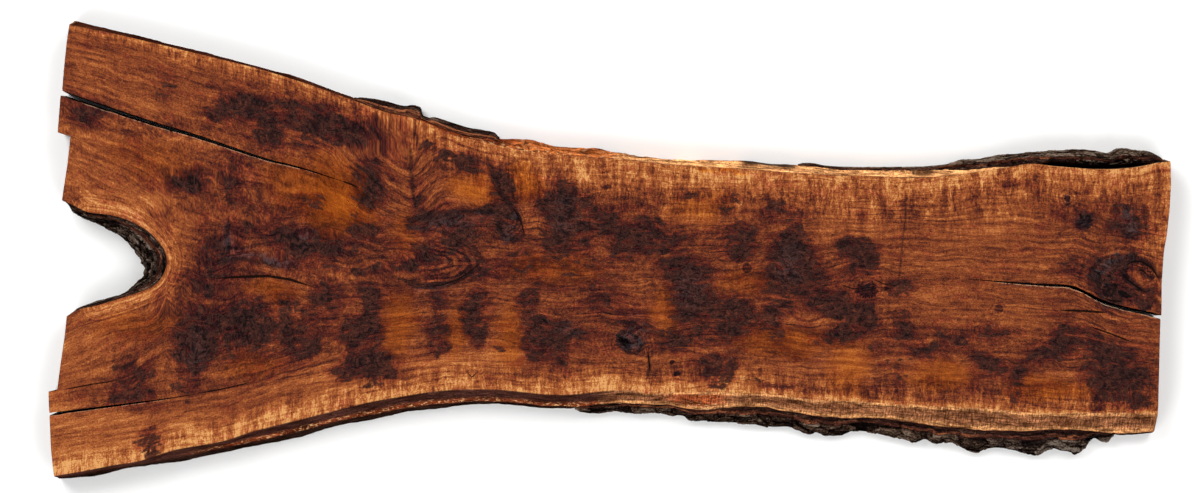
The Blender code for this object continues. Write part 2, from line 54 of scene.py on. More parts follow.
# The plan is drawn on a sheet 1200 wide and 493 high, x to the right and y down, seen from above by
# a lens that takes in the sheet's width. What lies below the top face is drawn smaller.
SHEET_CENTRE = np.array([600.0, 246.5])
SHEET_LEFT = 48.8
SHEET_RIGHT = 1170.8
UNIT = LENGTH / (SHEET_RIGHT - SHEET_LEFT)
LENS = 85.0
SENSOR = 36.0
EYE_HEIGHT = SHEET_CENTRE[0] * UNIT * LENS / (SENSOR / 2)

# Depths below the top face where the wall's lines are known: border, eased edge, middle, foot, sole
LEVELS = np.array([0.0, 0.003, 0.55 * THICKNESS, 0.85 * THICKNESS, THICKNESS])

# How far the eased edge lies out towards the middle, and the sole back from the foot towards it
EASE_SHARE = 0.14
SOLE_TUCK = 0.30

# Gaps of the bark to the wood's wall and to the underside, in metres
TOUCH_GAP = 0.0004
BARK_CLEAR = 0.0015

# The long edges as the sheet shows them: on the face, at the middle of the wall and at its foot
UPPER_TOP = [
    (69.6, 24.9), (118.6, 35), (153, 43), (191, 52.3), (229.6, 61.7), (250, 66.8), (280, 75.4), (305, 83.4),
    (330, 92.2), (355, 101.2), (385, 112), (418, 120), (433, 126), (450, 134.5), (466, 138.3), (498, 145.4),
    (530, 151.8), (562, 155.5), (593, 157), (625, 159.8), (657, 163.8), (698, 166.6), (746, 169.4),
    (793.5, 173.3), (841, 175.7), (873, 176.5), (917, 178), (939, 177), (961.6, 174.8), (984, 171),
    (1006, 168), (1035, 164.2), (1051, 166.3), (1073, 168), (1095.5, 169.6), (1118, 169.2), (1140, 167),
    (1156, 163.8), (1170.3, 161.6),
]
UPPER_FOOT = [
    (69.6, 21.2), (118.6, 32.2), (153, 40.9), (191, 50.2), (229.6, 59.9), (268, 70.2), (300, 78.7),
    (321.7, 87.2), (355, 98.9), (371, 103.5), (385, 107.6), (400, 112), (418, 116), (433, 121),
    (449, 126.5), (465, 130.7), (481, 134.2), (497, 137.6), (517, 138), (529.7, 139.5), (552, 144.6),
    (585.5, 147.5), (617.4, 151.8), (649, 157.4), (673, 159.3), (700, 160), (745, 160.5), (787, 164.4),
    (815.8, 165.3), (841, 168.6), (873, 169.4), (905, 169.4), (939, 169), (961, 168.4), (984, 166.6),
    (1006, 164.6), (1035, 161.8), (1051, 164.5), (1073, 166.3), (1095.5, 167.8), (1118, 167.5),
    (1140, 165.2), (1156, 161.9), (1170.3, 159.8),
]
LOWER_TOP = [
    (54.2, 475.8), (86, 470.5), (114.8, 464.8), (134, 462), (172, 450.4), (229.6, 439), (250, 432),
    (274, 425.7), (321.7, 413.8), (369.6, 401.8), (401.5, 396.2), (425.4, 392.3), (449, 389.6), (473, 389),
    (500, 389.4), (521.7, 391.6), (545.7, 394), (569.6, 394.3), (588.7, 392.4), (617.4, 390),
    (633.4, 390.3), (646, 393.2), (665, 392.4), (700, 391.5), (745.7, 392.9), (777.6, 394.8),
    (809.4, 398.8), (857, 401.2), (900, 404.2), (939, 406.3), (984, 408), (1028.6, 412.5), (1118, 412.5),
    (1157.6, 413),
]
LOWER_MIDDLE = [
    (54.2, 477), (86, 472.5), (118, 466.8), (145, 462.5), (172, 457), (229.6, 445), (250, 441),
    (298, 429.7), (345.7, 417.8), (369.6, 413.8), (393.5, 409), (417.4, 405), (441.3, 402.6), (473, 401),
    (500, 401), (513.8, 402), (545.7, 405), (588.7, 405.6), (601.5, 404.6), (625.4, 402.8), (657, 404.6),
    (673, 404.8), (681, 407.6), (722, 408.3), (745.7, 407.2), (769.6, 407.6), (785.5, 410.7), (817, 415.5),
    (833, 417.4), (865, 417.4), (900, 420.3), (939, 426.3), (984, 429.7), (1028.6, 431.3), (1051, 429.6),
    (1073, 429.2), (1095.5, 431.3), (1140, 432.3), (1157.6, 430.6),
]
LOWER_FOOT = [
    (54.2, 478.3), (76.5, 477.2), (99.5, 474.4), (118.6, 469.6), (145.4, 464.8), (181.7, 461),
    (200.9, 456.2), (250, 446.5), (298, 436.9), (321.7, 429.7), (345.7, 424.2), (369.6, 420.2),
    (393.5, 414.6), (417.4, 410.6), (441.3, 408.2), (473, 404.4), (505.8, 404.4), (526.5, 406.8),
    (560, 408.6), (577, 408.6), (601, 408), (625, 406.6), (657, 408), (681, 411), (722, 411.5),
    (745.7, 410.5), (769.6, 411), (785.5, 413.5), (817, 418), (833, 420), (865, 420), (900, 423),
    (939, 429), (984, 432), (1028.6, 433.2), (1051, 431.8), (1073, 431.6), (1095.5, 433.5), (1140, 434.6),
    (1157.6, 432.4),
]

# Bay of the fork, from the upper limb to the lower one: the wood's border, and its bark's outer line
BAY_WOOD = [
    (62.2, 200), (72.7, 204.7), (86, 211.4), (107, 214.3), (122.4, 218), (137.7, 224.8), (151, 233.4),
    (158.8, 242), (164.5, 250), (166.8, 258.5), (166, 268.7), (162.6, 276.4), (156, 284), (145.4, 289.7),
    (130, 295.5), (114.8, 300.3), (95.7, 306), (76.5, 310.8), (67, 316.5),
]
BAY_BARK = [
    (63, 205.5), (69, 212), (80, 218.5), (94, 226), (107, 231.5), (120, 239), (130, 247.5), (136, 254.5),
    (139.5, 260.5), (141.6, 265.5), (140.9, 271.5), (138.5, 276.5), (133, 281.5), (125.5, 287.5),
    (114.8, 295), (103, 299.2), (88, 302.6), (74, 308), (66.5, 314),
]

# Which point of the bay is its end, and the wood's share of the slope down to the bark's outer line
BAY_APEX = 9
BAY_SLOPE = 0.30

# Outer lines of the bark on the long edges
UPPER_LEFT_BARK = [
    (352, 96.8), (371, 98.6), (385.5, 101.6), (400, 105.4), (412.6, 105.6), (417.5, 108.4), (419.5, 113),
    (433, 117.2), (449, 122.2), (465, 127.2), (481, 130.2), (492, 132.3), (499, 135.8),
]
UPPER_RIGHT_BARK = [
    (800, 162.9), (815.8, 163.2), (825.4, 165.2), (841, 166.4), (873, 167), (900, 166.8), (930, 166.2),
    (952.7, 163.4), (966, 159.8), (984, 159.2), (1001.8, 155.4), (1019.6, 153.6), (1044, 151),
    (1062, 150.2), (1086.6, 149.8), (1100, 151), (1113.4, 153.6), (1120, 149.4), (1140, 149.6),
    (1155.8, 151.3), (1162.5, 154.7), (1168, 157.6),
]
LOWER_BARK = [
    (574, 411.2), (596.7, 413.4), (612.6, 411.2), (630, 413.4), (657, 412.6), (673, 415.2), (686, 416.8),
    (690, 419.5), (706, 421), (729.7, 422.4), (753.6, 424.3), (777.6, 427.5), (793.5, 427.5), (803, 430.7),
    (814, 434.3), (819, 432.6), (830, 435.5), (844.5, 435), (852.5, 431.8), (865, 431), (879.6, 433),
    (900, 437.5), (912.5, 439.7), (921.4, 443), (930.4, 439.7), (939.3, 443.8), (957, 442), (966, 447.5),
    (984, 451.3), (993, 448.7), (1017, 449.8), (1028.6, 453.6), (1042, 454.2), (1051, 448.7),
    (1068.8, 450.9), (1091, 447.5), (1094.4, 442), (1113.4, 440.6), (1118.5, 438),
]

# The hollow behind the roll of bark: x of its ends, its width on the sheet and its depth in metres
HOLLOW_START = 1034.0
HOLLOW_END = 1158.0
HOLLOW_WIDTH = 4.2
HOLLOW_DEPTH = 0.034

# Grain lines that part the bands. Each starts at the left end or the bay and ends at the right end,
# and a stretch of it is a crack: open at one end of the slab, with a tip inside it
LOWER_GRAIN = [
    (49.6, 414.5), (76.5, 410.6), (107, 406.7), (134, 403.2), (172, 398), (201, 393), (260, 379),
    (330, 358), (400, 344), (500, 341), (620, 345), (800, 351), (1000, 360), (1158.9, 368),
]
PITH_GRAIN = [
    (166.8, 258.5), (176, 264.5), (192, 271), (212, 275.5), (268, 276.5), (311, 283), (400, 283),
    (500, 280), (600, 282), (700, 281), (800, 280), (900, 279), (966, 279), (1006, 282.2), (1028.6, 283.9),
    (1051, 285.2), (1073, 287.4), (1086.6, 293.2), (1095.5, 298.2), (1106.7, 303.2), (1118, 306.6),
    (1135.7, 310.8), (1151, 314.3), (1160.7, 316.8),
]
UPPER_GRAIN = [
    (61.6, 93.4), (86, 101.5), (122.4, 113.5), (158.8, 125.3), (191, 134.6), (229.6, 147.4), (267.8, 159.9),
    (300, 167.8), (346, 182.3), (420, 203), (520, 221), (620, 226), (800, 227), (1000, 226), (1166.4, 236),
]

# The cracks: x of their tips, width at their mouths on the sheet, and how they narrow at each level
LOWER_CRACK_TIP = 201.0
RIGHT_CRACK_TIP = 966.0
UPPER_CRACK_TIP = 346.0
LOWER_CRACK_WIDTH = 3.0
RIGHT_CRACK_WIDTH = 4.5
UPPER_CRACK_WIDTH = 5.5
CRACK_NARROWING = np.array([1.0, 0.96, 0.72, 0.56, 0.48])

# Corners of the sawn ends between the grain lines, from the lower one up
LEFT_CORNERS = [
    [(51.3, 450.4)], [(48.8, 392), (57.4, 390.2), (60.8, 364.4), (65, 335.7)],
    [(67.9, 162.6), (70.8, 136.2), (58, 132)], [(64, 70.8), (67, 42)],
]
RIGHT_CORNERS = [
    [(1158, 406)], [], [(1161.4, 283.5), (1163.6, 251.8)], [(1169.2, 211.6), (1170.8, 184.8)],
]

# What a point of the wall is on; points off the wall are on the face
FACE, LOWER_EDGE, SAWN_END, CRACK, UPPER_EDGE, BAY = range(-1, 5)

# The wood's lattice: columns along the slab and the one at the bay's end, and from the lower edge up
# each band's rows and its width across the grain. The first and the last columns, as many as the
# reaches, lean towards the sawn ends
COLUMNS = 400
BAY_COLUMN = 38
BAND_ROWS = (24, 32, 32, 32)
BAND_WIDTHS = (48.0, 76.0, 60.0, 62.0)
LEFT_REACH = 28
RIGHT_REACH = 20

# Where columns stand closer together, for the knots: x, reach and how much closer
DENSE = [
    (628, 16, 1.6), (867, 14, 1), (1128, 30, 1.4), (1067, 10, 0.6),
]

# Depths of the wall's rings between the border and the sole, in metres
RINGS = np.array([
    0.0, 0.0007, 0.0018, 0.0034, 0.006, 0.0095, 0.0135, 0.018, 0.0225, 0.027, 0.0305, 0.0345, 0.039,
    0.0435, 0.0475, 0.0513, 0.0538,
]) * (THICKNESS / 0.055)

# How far the wall stands out under its rounded top edge and how deep the round goes, in metres
EDGE_ROUND = 0.0009
ROUND_DEPTH = 0.0022

# How uneven the live edges are, in sheet units: in general, and on a stretch of each edge from one x
# to another
EVEN_WALL = 0.8
ROUGH_WALLS = [(UPPER_EDGE, 415, 650, 1.5), (LOWER_EDGE, 680, 1200, 1.1)]

# x where the waves of the live edges end at the sawn ends, and the stretch over which they fade. At
# the face and the underside they fade over a depth in metres
LOWER_LEFT_END = 54
UPPER_LEFT_END = 69
RIGHT_END = 1160
END_FADE = 30
FACE_FADE = 0.008

# Waves of the live edges: height, length on the sheet, height down the wall in metres, seed, layers
WALL_WAVES = [(1.0, 26, 0.018, 301, 4), (0.4, 7, 0.006, 311, 3)]

# How far the sapwood reaches in from each live edge, and how strong the upper one is, by x
UPPER_SAP = ([60, 300, 420, 520, 900, 1000, 1100, 1170], [8, 8, 20, 30, 30, 20, 16, 14])
LOWER_SAP = ([50, 150, 260, 380, 500, 650, 800, 1000, 1160], [30, 34, 28, 20, 20, 20, 6, 5, 5])
UPPER_SAP_STRENGTH = ([60, 360, 520], [0.6, 0.6, 1.0])

# How far the ripples reach in from each live edge, by x
UPPER_RIPPLES = ([60, 380, 520], [6, 30, 70])
LOWER_RIPPLES = ([60, 400], [20, 34])


def smooth(knots, values, at):
    """A smooth line through values at the knots: between two knots a cubic, whose slope at each
    knot is that of the curve through the knot and its two neighbours."""
    knots = np.asarray(knots, float)
    values = np.asarray(values, float)
    slopes = np.gradient(values, knots)
    i = np.clip(np.searchsorted(knots, at) - 1, 0, len(knots) - 2)
    width = knots[i + 1] - knots[i]
    t = (at - knots[i]) / width
    rise = t * t * (3 - 2 * t)
    return (
        values[i] * (1 - rise)
        + values[i + 1] * rise
        + slopes[i] * width * t * (1 - t) ** 2
        - slopes[i + 1] * width * t * t * (1 - t)
    )


def ease(value, low=0.0, high=1.0):
    """0 below low, 1 above high, and an even S between them."""
    t = np.clip((value - low) / (high - low), 0, 1)
    return t * t * (3 - 2 * t)


def between(value, rise, risen, fall, fallen):
    """1 from risen to fall, 0 below rise and above fallen, and an even S on both slopes."""
    return ease(value, rise, risen) * (1 - ease(value, fall, fallen))


def line_at(points, x):
    """Points of a long line at each x."""
    knots, values = np.array(points, float).T
    return np.column_stack([x, smooth(knots, values, x)])


def run_of(points):
    """Length along a line of points, from 0 at its start."""
    steps = np.linalg.norm(np.diff(points, axis=0), axis=1)
    return np.concatenate([[0], np.cumsum(steps)])


def lowered(points, depth, along=0.0):
    """Where sheet points lie in plan if what they show is depth below the top face: further from
    the sheet's centre in y, and in x by the share along."""
    level = np.ones(len(points))
    growth = depth / EYE_HEIGHT * np.column_stack([along * level, level])
    return SHEET_CENTRE + (points - SHEET_CENTRE) * (1 + growth)


def wave_line(along, seed, length, count=4):
    """A seeded uneven line between about -1 and 1: a sum of sine waves round one length."""
    rng = np.random.default_rng(seed)
    total = np.zeros(np.shape(along))
    for _ in range(count):
        turns = 2 * np.pi * along / (length * rng.uniform(0.6, 1.7))
        height, start = rng.uniform(0.5, 1.0), rng.uniform(0, 2 * np.pi)
        total = total + height * np.sin(turns + start)
    return total / (0.75 * count)


def grain_noise(x, y, seed):
    """Smooth noise between -1 and 1: seeded slopes at whole x and y, blended between them."""
    rng = np.random.default_rng(seed)
    angle = rng.uniform(0, 2 * np.pi, (256, 256))
    i, j = np.floor(x).astype(int), np.floor(y).astype(int)
    fx, fy = x - i, y - j
    wx, wy = fx ** 3 * (fx * (6 * fx - 15) + 10), fy ** 3 * (fy * (6 * fy - 15) + 10)

    def corner(di, dj):
        """The slope at one whole point, times the way there."""
        turn = angle[(i + di) % 256, (j + dj) % 256]
        return np.cos(turn) * (fx - di) + np.sin(turn) * (fy - dj)

    low = corner(0, 0) * (1 - wx) + corner(1, 0) * wx
    high = corner(0, 1) * (1 - wx) + corner(1, 1) * wx
    return 1.5 * (low * (1 - wy) + high * wy)


def layered(x, y, seed, octaves=4, fall=0.5):
    """Layers of noise, each twice as fine as the last and weaker by fall."""
    total, weight = np.zeros(np.shape(x)), 1.0
    for octave in range(octaves):
        total = total + weight * grain_noise(x * 2 ** octave, y * 2 ** octave, seed + octave)
        weight *= fall
    return total


def levels_of(top, middle, foot):
    """The wall's five lines from the border, the middle and the foot: shape (5, stations, 2)."""
    eased = top + (middle - top) * EASE_SHARE
    sole = foot + (middle - foot) * SOLE_TUCK
    return np.stack([top, eased, middle, foot, sole])


def upper_levels(x):
    """The upper live edge's lines at x."""
    top, foot = line_at(UPPER_TOP, x), line_at(UPPER_FOOT, x)
    return levels_of(top, lowered((top + foot) / 2, LEVELS[2]), lowered(foot, LEVELS[3]))


def lower_levels(x):
    """The lower live edge's lines at x."""
    middle = lowered(line_at(LOWER_MIDDLE, x), LEVELS[2])
    return levels_of(line_at(LOWER_TOP, x), middle, lowered(line_at(LOWER_FOOT, x), LEVELS[3]))


def bay_levels(share):
    """The bay's lines at shares of its length, and the bark's outer line near its foot."""
    border = np.array(BAY_WOOD)
    run = run_of(border)
    at = share * run[-1]
    wood = np.column_stack([smooth(run, border[:, 0], at), smooth(run, border[:, 1], at)])
    knots = np.arange(len(BAY_WOOD))
    partner = np.interp(at, run, knots)
    pairs = np.array(BAY_BARK)
    bark = np.column_stack([smooth(knots, pairs[:, 0], partner), smooth(knots, pairs[:, 1], partner)])
    bark = lowered(bark, LEVELS[3], along=np.sin(np.pi * share) ** 2)
    lean = bark - wood
    return levels_of(wood, wood + lean * BAY_SLOPE * 0.6, wood + lean * BAY_SLOPE), bark


def column_places():
    """x of the columns right of the bay: even, and closer together round the knots."""
    x = np.linspace(BAY_WOOD[BAY_APEX][0], 1165.0, 4000)
    crowd = 1 + sum(more * np.exp(-((x - middle) / reach) ** 2) for middle, reach, more in DENSE)
    share = np.concatenate([[0], np.cumsum((crowd[1:] + crowd[:-1]) / 2)])
    return np.interp(np.linspace(0, share[-1], COLUMNS - BAY_COLUMN + 1), share, x)


def guide_x(start, end):
    """x of every column on a line from start to end: even as far as the bay's end, then the
    columns' own places, drawn towards the line's end over the last stretch."""
    places = column_places()
    left = start + (places[0] - start) * np.arange(BAY_COLUMN) / BAY_COLUMN
    pull = ease(places, 1040.0, places[-1])
    return np.concatenate([left, places + (end - places[-1]) * pull])


def crack_sides(line, tip, width, mouth_right):
    """Upper and lower side of a grain line that opens into a crack, at each of the five levels, and
    the column of the tip. The opening grows from nothing at the tip to width at the mouth."""
    x = guide_x(line[0][0], line[-1][0])
    middle = line_at(line, x)
    tip_column = 2 * round(np.argmin(np.abs(x - tip)) / 2)
    if mouth_right:
        share = np.clip((x - x[tip_column]) / (x[-1] - x[tip_column]), 0, 1)
    else:
        share = np.clip((x[tip_column] - x) / (x[tip_column] - x[0]), 0, 1)
    uneven = 1 + 0.16 * wave_line(x, 7 + tip_column, 19) + 0.08 * wave_line(x, 8 + tip_column, 6)
    half = 0.5 * width * share ** 0.62 * uneven
    slope = np.gradient(middle[:, 1], x)
    side = np.column_stack([slope, -np.ones_like(x)]) / np.hypot(1, slope)[:, None]
    wander = 0.10 * wave_line(x, 9 + tip_column, 23) * np.minimum(share * 4, 1)
    middle = middle + side * wander[:, None]
    offset = side[None] * half[None, :, None] * CRACK_NARROWING[:, None, None]
    return middle[None] + offset, middle[None] - offset, tip_column


def guides():
    """Each band's lower and upper guide at the five levels, and which columns of the seams between
    neighbouring bands are joined."""
    lower = lower_levels(guide_x(LOWER_TOP[0][0], LOWER_TOP[-1][0]))
    upper = upper_levels(guide_x(UPPER_TOP[0][0], UPPER_TOP[-1][0]))
    lower_up, lower_down, lower_tip = crack_sides(LOWER_GRAIN, LOWER_CRACK_TIP, LOWER_CRACK_WIDTH, False)
    upper_up, upper_down, upper_tip = crack_sides(UPPER_GRAIN, UPPER_CRACK_TIP, UPPER_CRACK_WIDTH, False)
    pith_up, pith_down, pith_tip = crack_sides(PITH_GRAIN, RIGHT_CRACK_TIP, RIGHT_CRACK_WIDTH, True)
    run = run_of(np.array(BAY_WOOD))
    apex = run[BAY_APEX] / run[-1]
    along = np.arange(BAY_COLUMN + 1) / BAY_COLUMN
    pith_up[:, : BAY_COLUMN + 1] = bay_levels(apex * along)[0]
    pith_down[:, : BAY_COLUMN + 1] = bay_levels(1 - (1 - apex) * along)[0]
    column = np.arange(COLUMNS + 1)
    joined = [
        column >= lower_tip,
        (column >= BAY_COLUMN) & (column <= pith_tip),
        column >= upper_tip,
    ]
    # Right of the bay's end the two sides start at one point at every level
    merge = ease(column, BAY_COLUMN, BAY_COLUMN + 10)[None, BAY_COLUMN:, None]
    shift_up = pith_up[:, BAY_COLUMN : BAY_COLUMN + 1] - pith_up[:1, BAY_COLUMN : BAY_COLUMN + 1]
    for side in (pith_up, pith_down):
        side[:, BAY_COLUMN + 1 :] += shift_up * (1 - merge[:, 1:])
    pairs = [(lower, lower_down), (lower_up, pith_down), (pith_up, upper_down), (upper_up, upper)]
    tips = {"lower": lower_tip, "pith": pith_tip, "upper": upper_tip}
    return pairs, joined, tips


def end_points(first, corners, last, rows):
    """Points of a sawn end from first to last by way of its corners: an even number of steps on each
    straight run, about equally long."""
    stops = np.array([first, *corners, last], float)
    lengths = np.linalg.norm(np.diff(stops, axis=0), axis=1)
    pairs_left = rows // 2
    counts = np.maximum(1, np.round(lengths / lengths.sum() * pairs_left)).astype(int)
    counts[np.argmax(counts)] += pairs_left - counts.sum()
    points = [
        a + (b - a) * share
        for a, b, count in zip(stops[:-1], stops[1:], counts)
        for share in np.arange(2 * count) / (2 * count)
    ]
    return np.array([*points, stops[-1]])


def face_points(pairs, level, step):
    """Each band's points at one level: straight from its lower guide to its upper one, and near the
    two ends drawn on to the sawn ends' corners. Every step-th row and column is kept."""
    column = np.arange(COLUMNS + 1)
    near_left = (1 - ease(column, 0, LEFT_REACH))[None, :, None]
    near_right = (1 - ease(COLUMNS - column, 0, RIGHT_REACH))[None, :, None]
    bands = []
    for band, (low, high) in enumerate(pairs):
        rows = BAND_ROWS[band]
        t = (np.arange(rows + 1) / rows)[:, None, None]
        points = low[level][None] * (1 - t) + high[level][None] * t
        left = end_points(low[level, 0], LEFT_CORNERS[band], high[level, 0], rows)
        right = end_points(low[level, -1], RIGHT_CORNERS[band], high[level, -1], rows)
        shifted = (left - points[:, 0])[:, None] * near_left + (right - points[:, -1])[:, None] * near_right
        bands.append((points + shifted)[::step, ::step])
    return bands


def face_numbers(joined, step):
    """Numbers of each band's points, with those on a joined seam shared by both bands."""
    numbers, count = [], 0
    for band, rows in enumerate(BAND_ROWS):
        shape = (rows // step + 1, COLUMNS // step + 1)
        own = np.ones(shape, bool)
        if band:
            own[0] = ~joined[band - 1][::step]
        number = np.zeros(shape, int)
        number[own] = count + np.arange(own.sum())
        if band:
            number[0] = np.where(own[0], number[0], numbers[-1][-1])
        count += own.sum()
        numbers.append(number)
    return numbers, count


def border_loop(numbers, tips, step):
    """Numbers of the points along the whole border, anticlockwise from above from the lower left
    corner, in and out of each crack and round the bay."""
    first, second, third, fourth = numbers
    low_tip, pith_tip, up_tip = (tips[name] // step for name in ("lower", "pith", "upper"))
    bay = BAY_COLUMN // step
    return np.concatenate([
        first[0, :-1], first[:-1, -1], second[:-1, -1],
        second[-1, :pith_tip:-1], third[0, pith_tip:-1],
        third[:-1, -1], fourth[:-1, -1],
        fourth[-1, :0:-1], fourth[:0:-1, 0],
        fourth[0, :up_tip], third[-1, up_tip:0:-1], third[:0:-1, 0],
        third[0, :bay], second[-1, bay:0:-1], second[:0:-1, 0],
        second[0, :low_tip], first[-1, low_tip:0:-1], first[:0:-1, 0],
    ])


def border_kinds(tips):
    """What each point of the border loop is on, in the loop's order."""
    first, second, third, fourth = BAND_ROWS
    runs = [
        (LOWER_EDGE, COLUMNS), (SAWN_END, first + second), (CRACK, 2 * (COLUMNS - tips["pith"])),
        (SAWN_END, third + fourth), (UPPER_EDGE, COLUMNS), (SAWN_END, fourth), (CRACK, 2 * tips["upper"]),
        (SAWN_END, third), (BAY, 2 * BAY_COLUMN), (SAWN_END, second), (CRACK, 2 * tips["lower"]),
        (SAWN_END, first),
    ]
    return np.concatenate([np.full(count, kind) for kind, count in runs])


def flat_list(bands, numbers, count):
    """The bands' values as one list in the order of their numbers."""
    values = np.zeros((count, *np.shape(bands[0])[2:]))
    for band, number in zip(bands, numbers):
        values[number.ravel()] = band.reshape(number.size, *np.shape(band)[2:])
    return values


def lattice_quads(number):
    """Four-sided faces of a lattice of point numbers, anticlockwise from above."""
    corners = [number[:-1, :-1], number[:-1, 1:], number[1:, 1:], number[1:, :-1]]
    return np.stack(corners, -1).reshape(-1, 4)


def to_row(points):
    """Sheet points as metres in the row frame."""
    return (points - SHEET_CENTRE) * [UNIT, -UNIT] + PLAN_SHIFT


def outward(line):
    """Unit normals of a closed line on the sheet that runs anticlockwise seen from above."""
    along = np.roll(line, -1, axis=0) - np.roll(line, 1, axis=0)
    normal = np.column_stack([-along[:, 1], along[:, 0]])
    return normal / np.maximum(np.linalg.norm(normal, axis=1, keepdims=True), 1e-9)


def plan_shift(pairs):
    """What centres the sheet on the frame: the middle of the wood's widest lines is the middle of
    the wood's box."""
    points = np.concatenate([
        band.reshape(-1, 2) for level in (0, 3) for band in face_points(pairs, level, 1)
    ])
    middle = (points.min(axis=0) + points.max(axis=0)) / 2
    return (WOOD_LOW[:2] + WOOD_HIGH[:2]) / 2 - (middle - SHEET_CENTRE) * [UNIT, -UNIT]


BAND_GUIDES, JOINED, TIPS = guides()
PLAN_SHIFT = plan_shift(BAND_GUIDES)

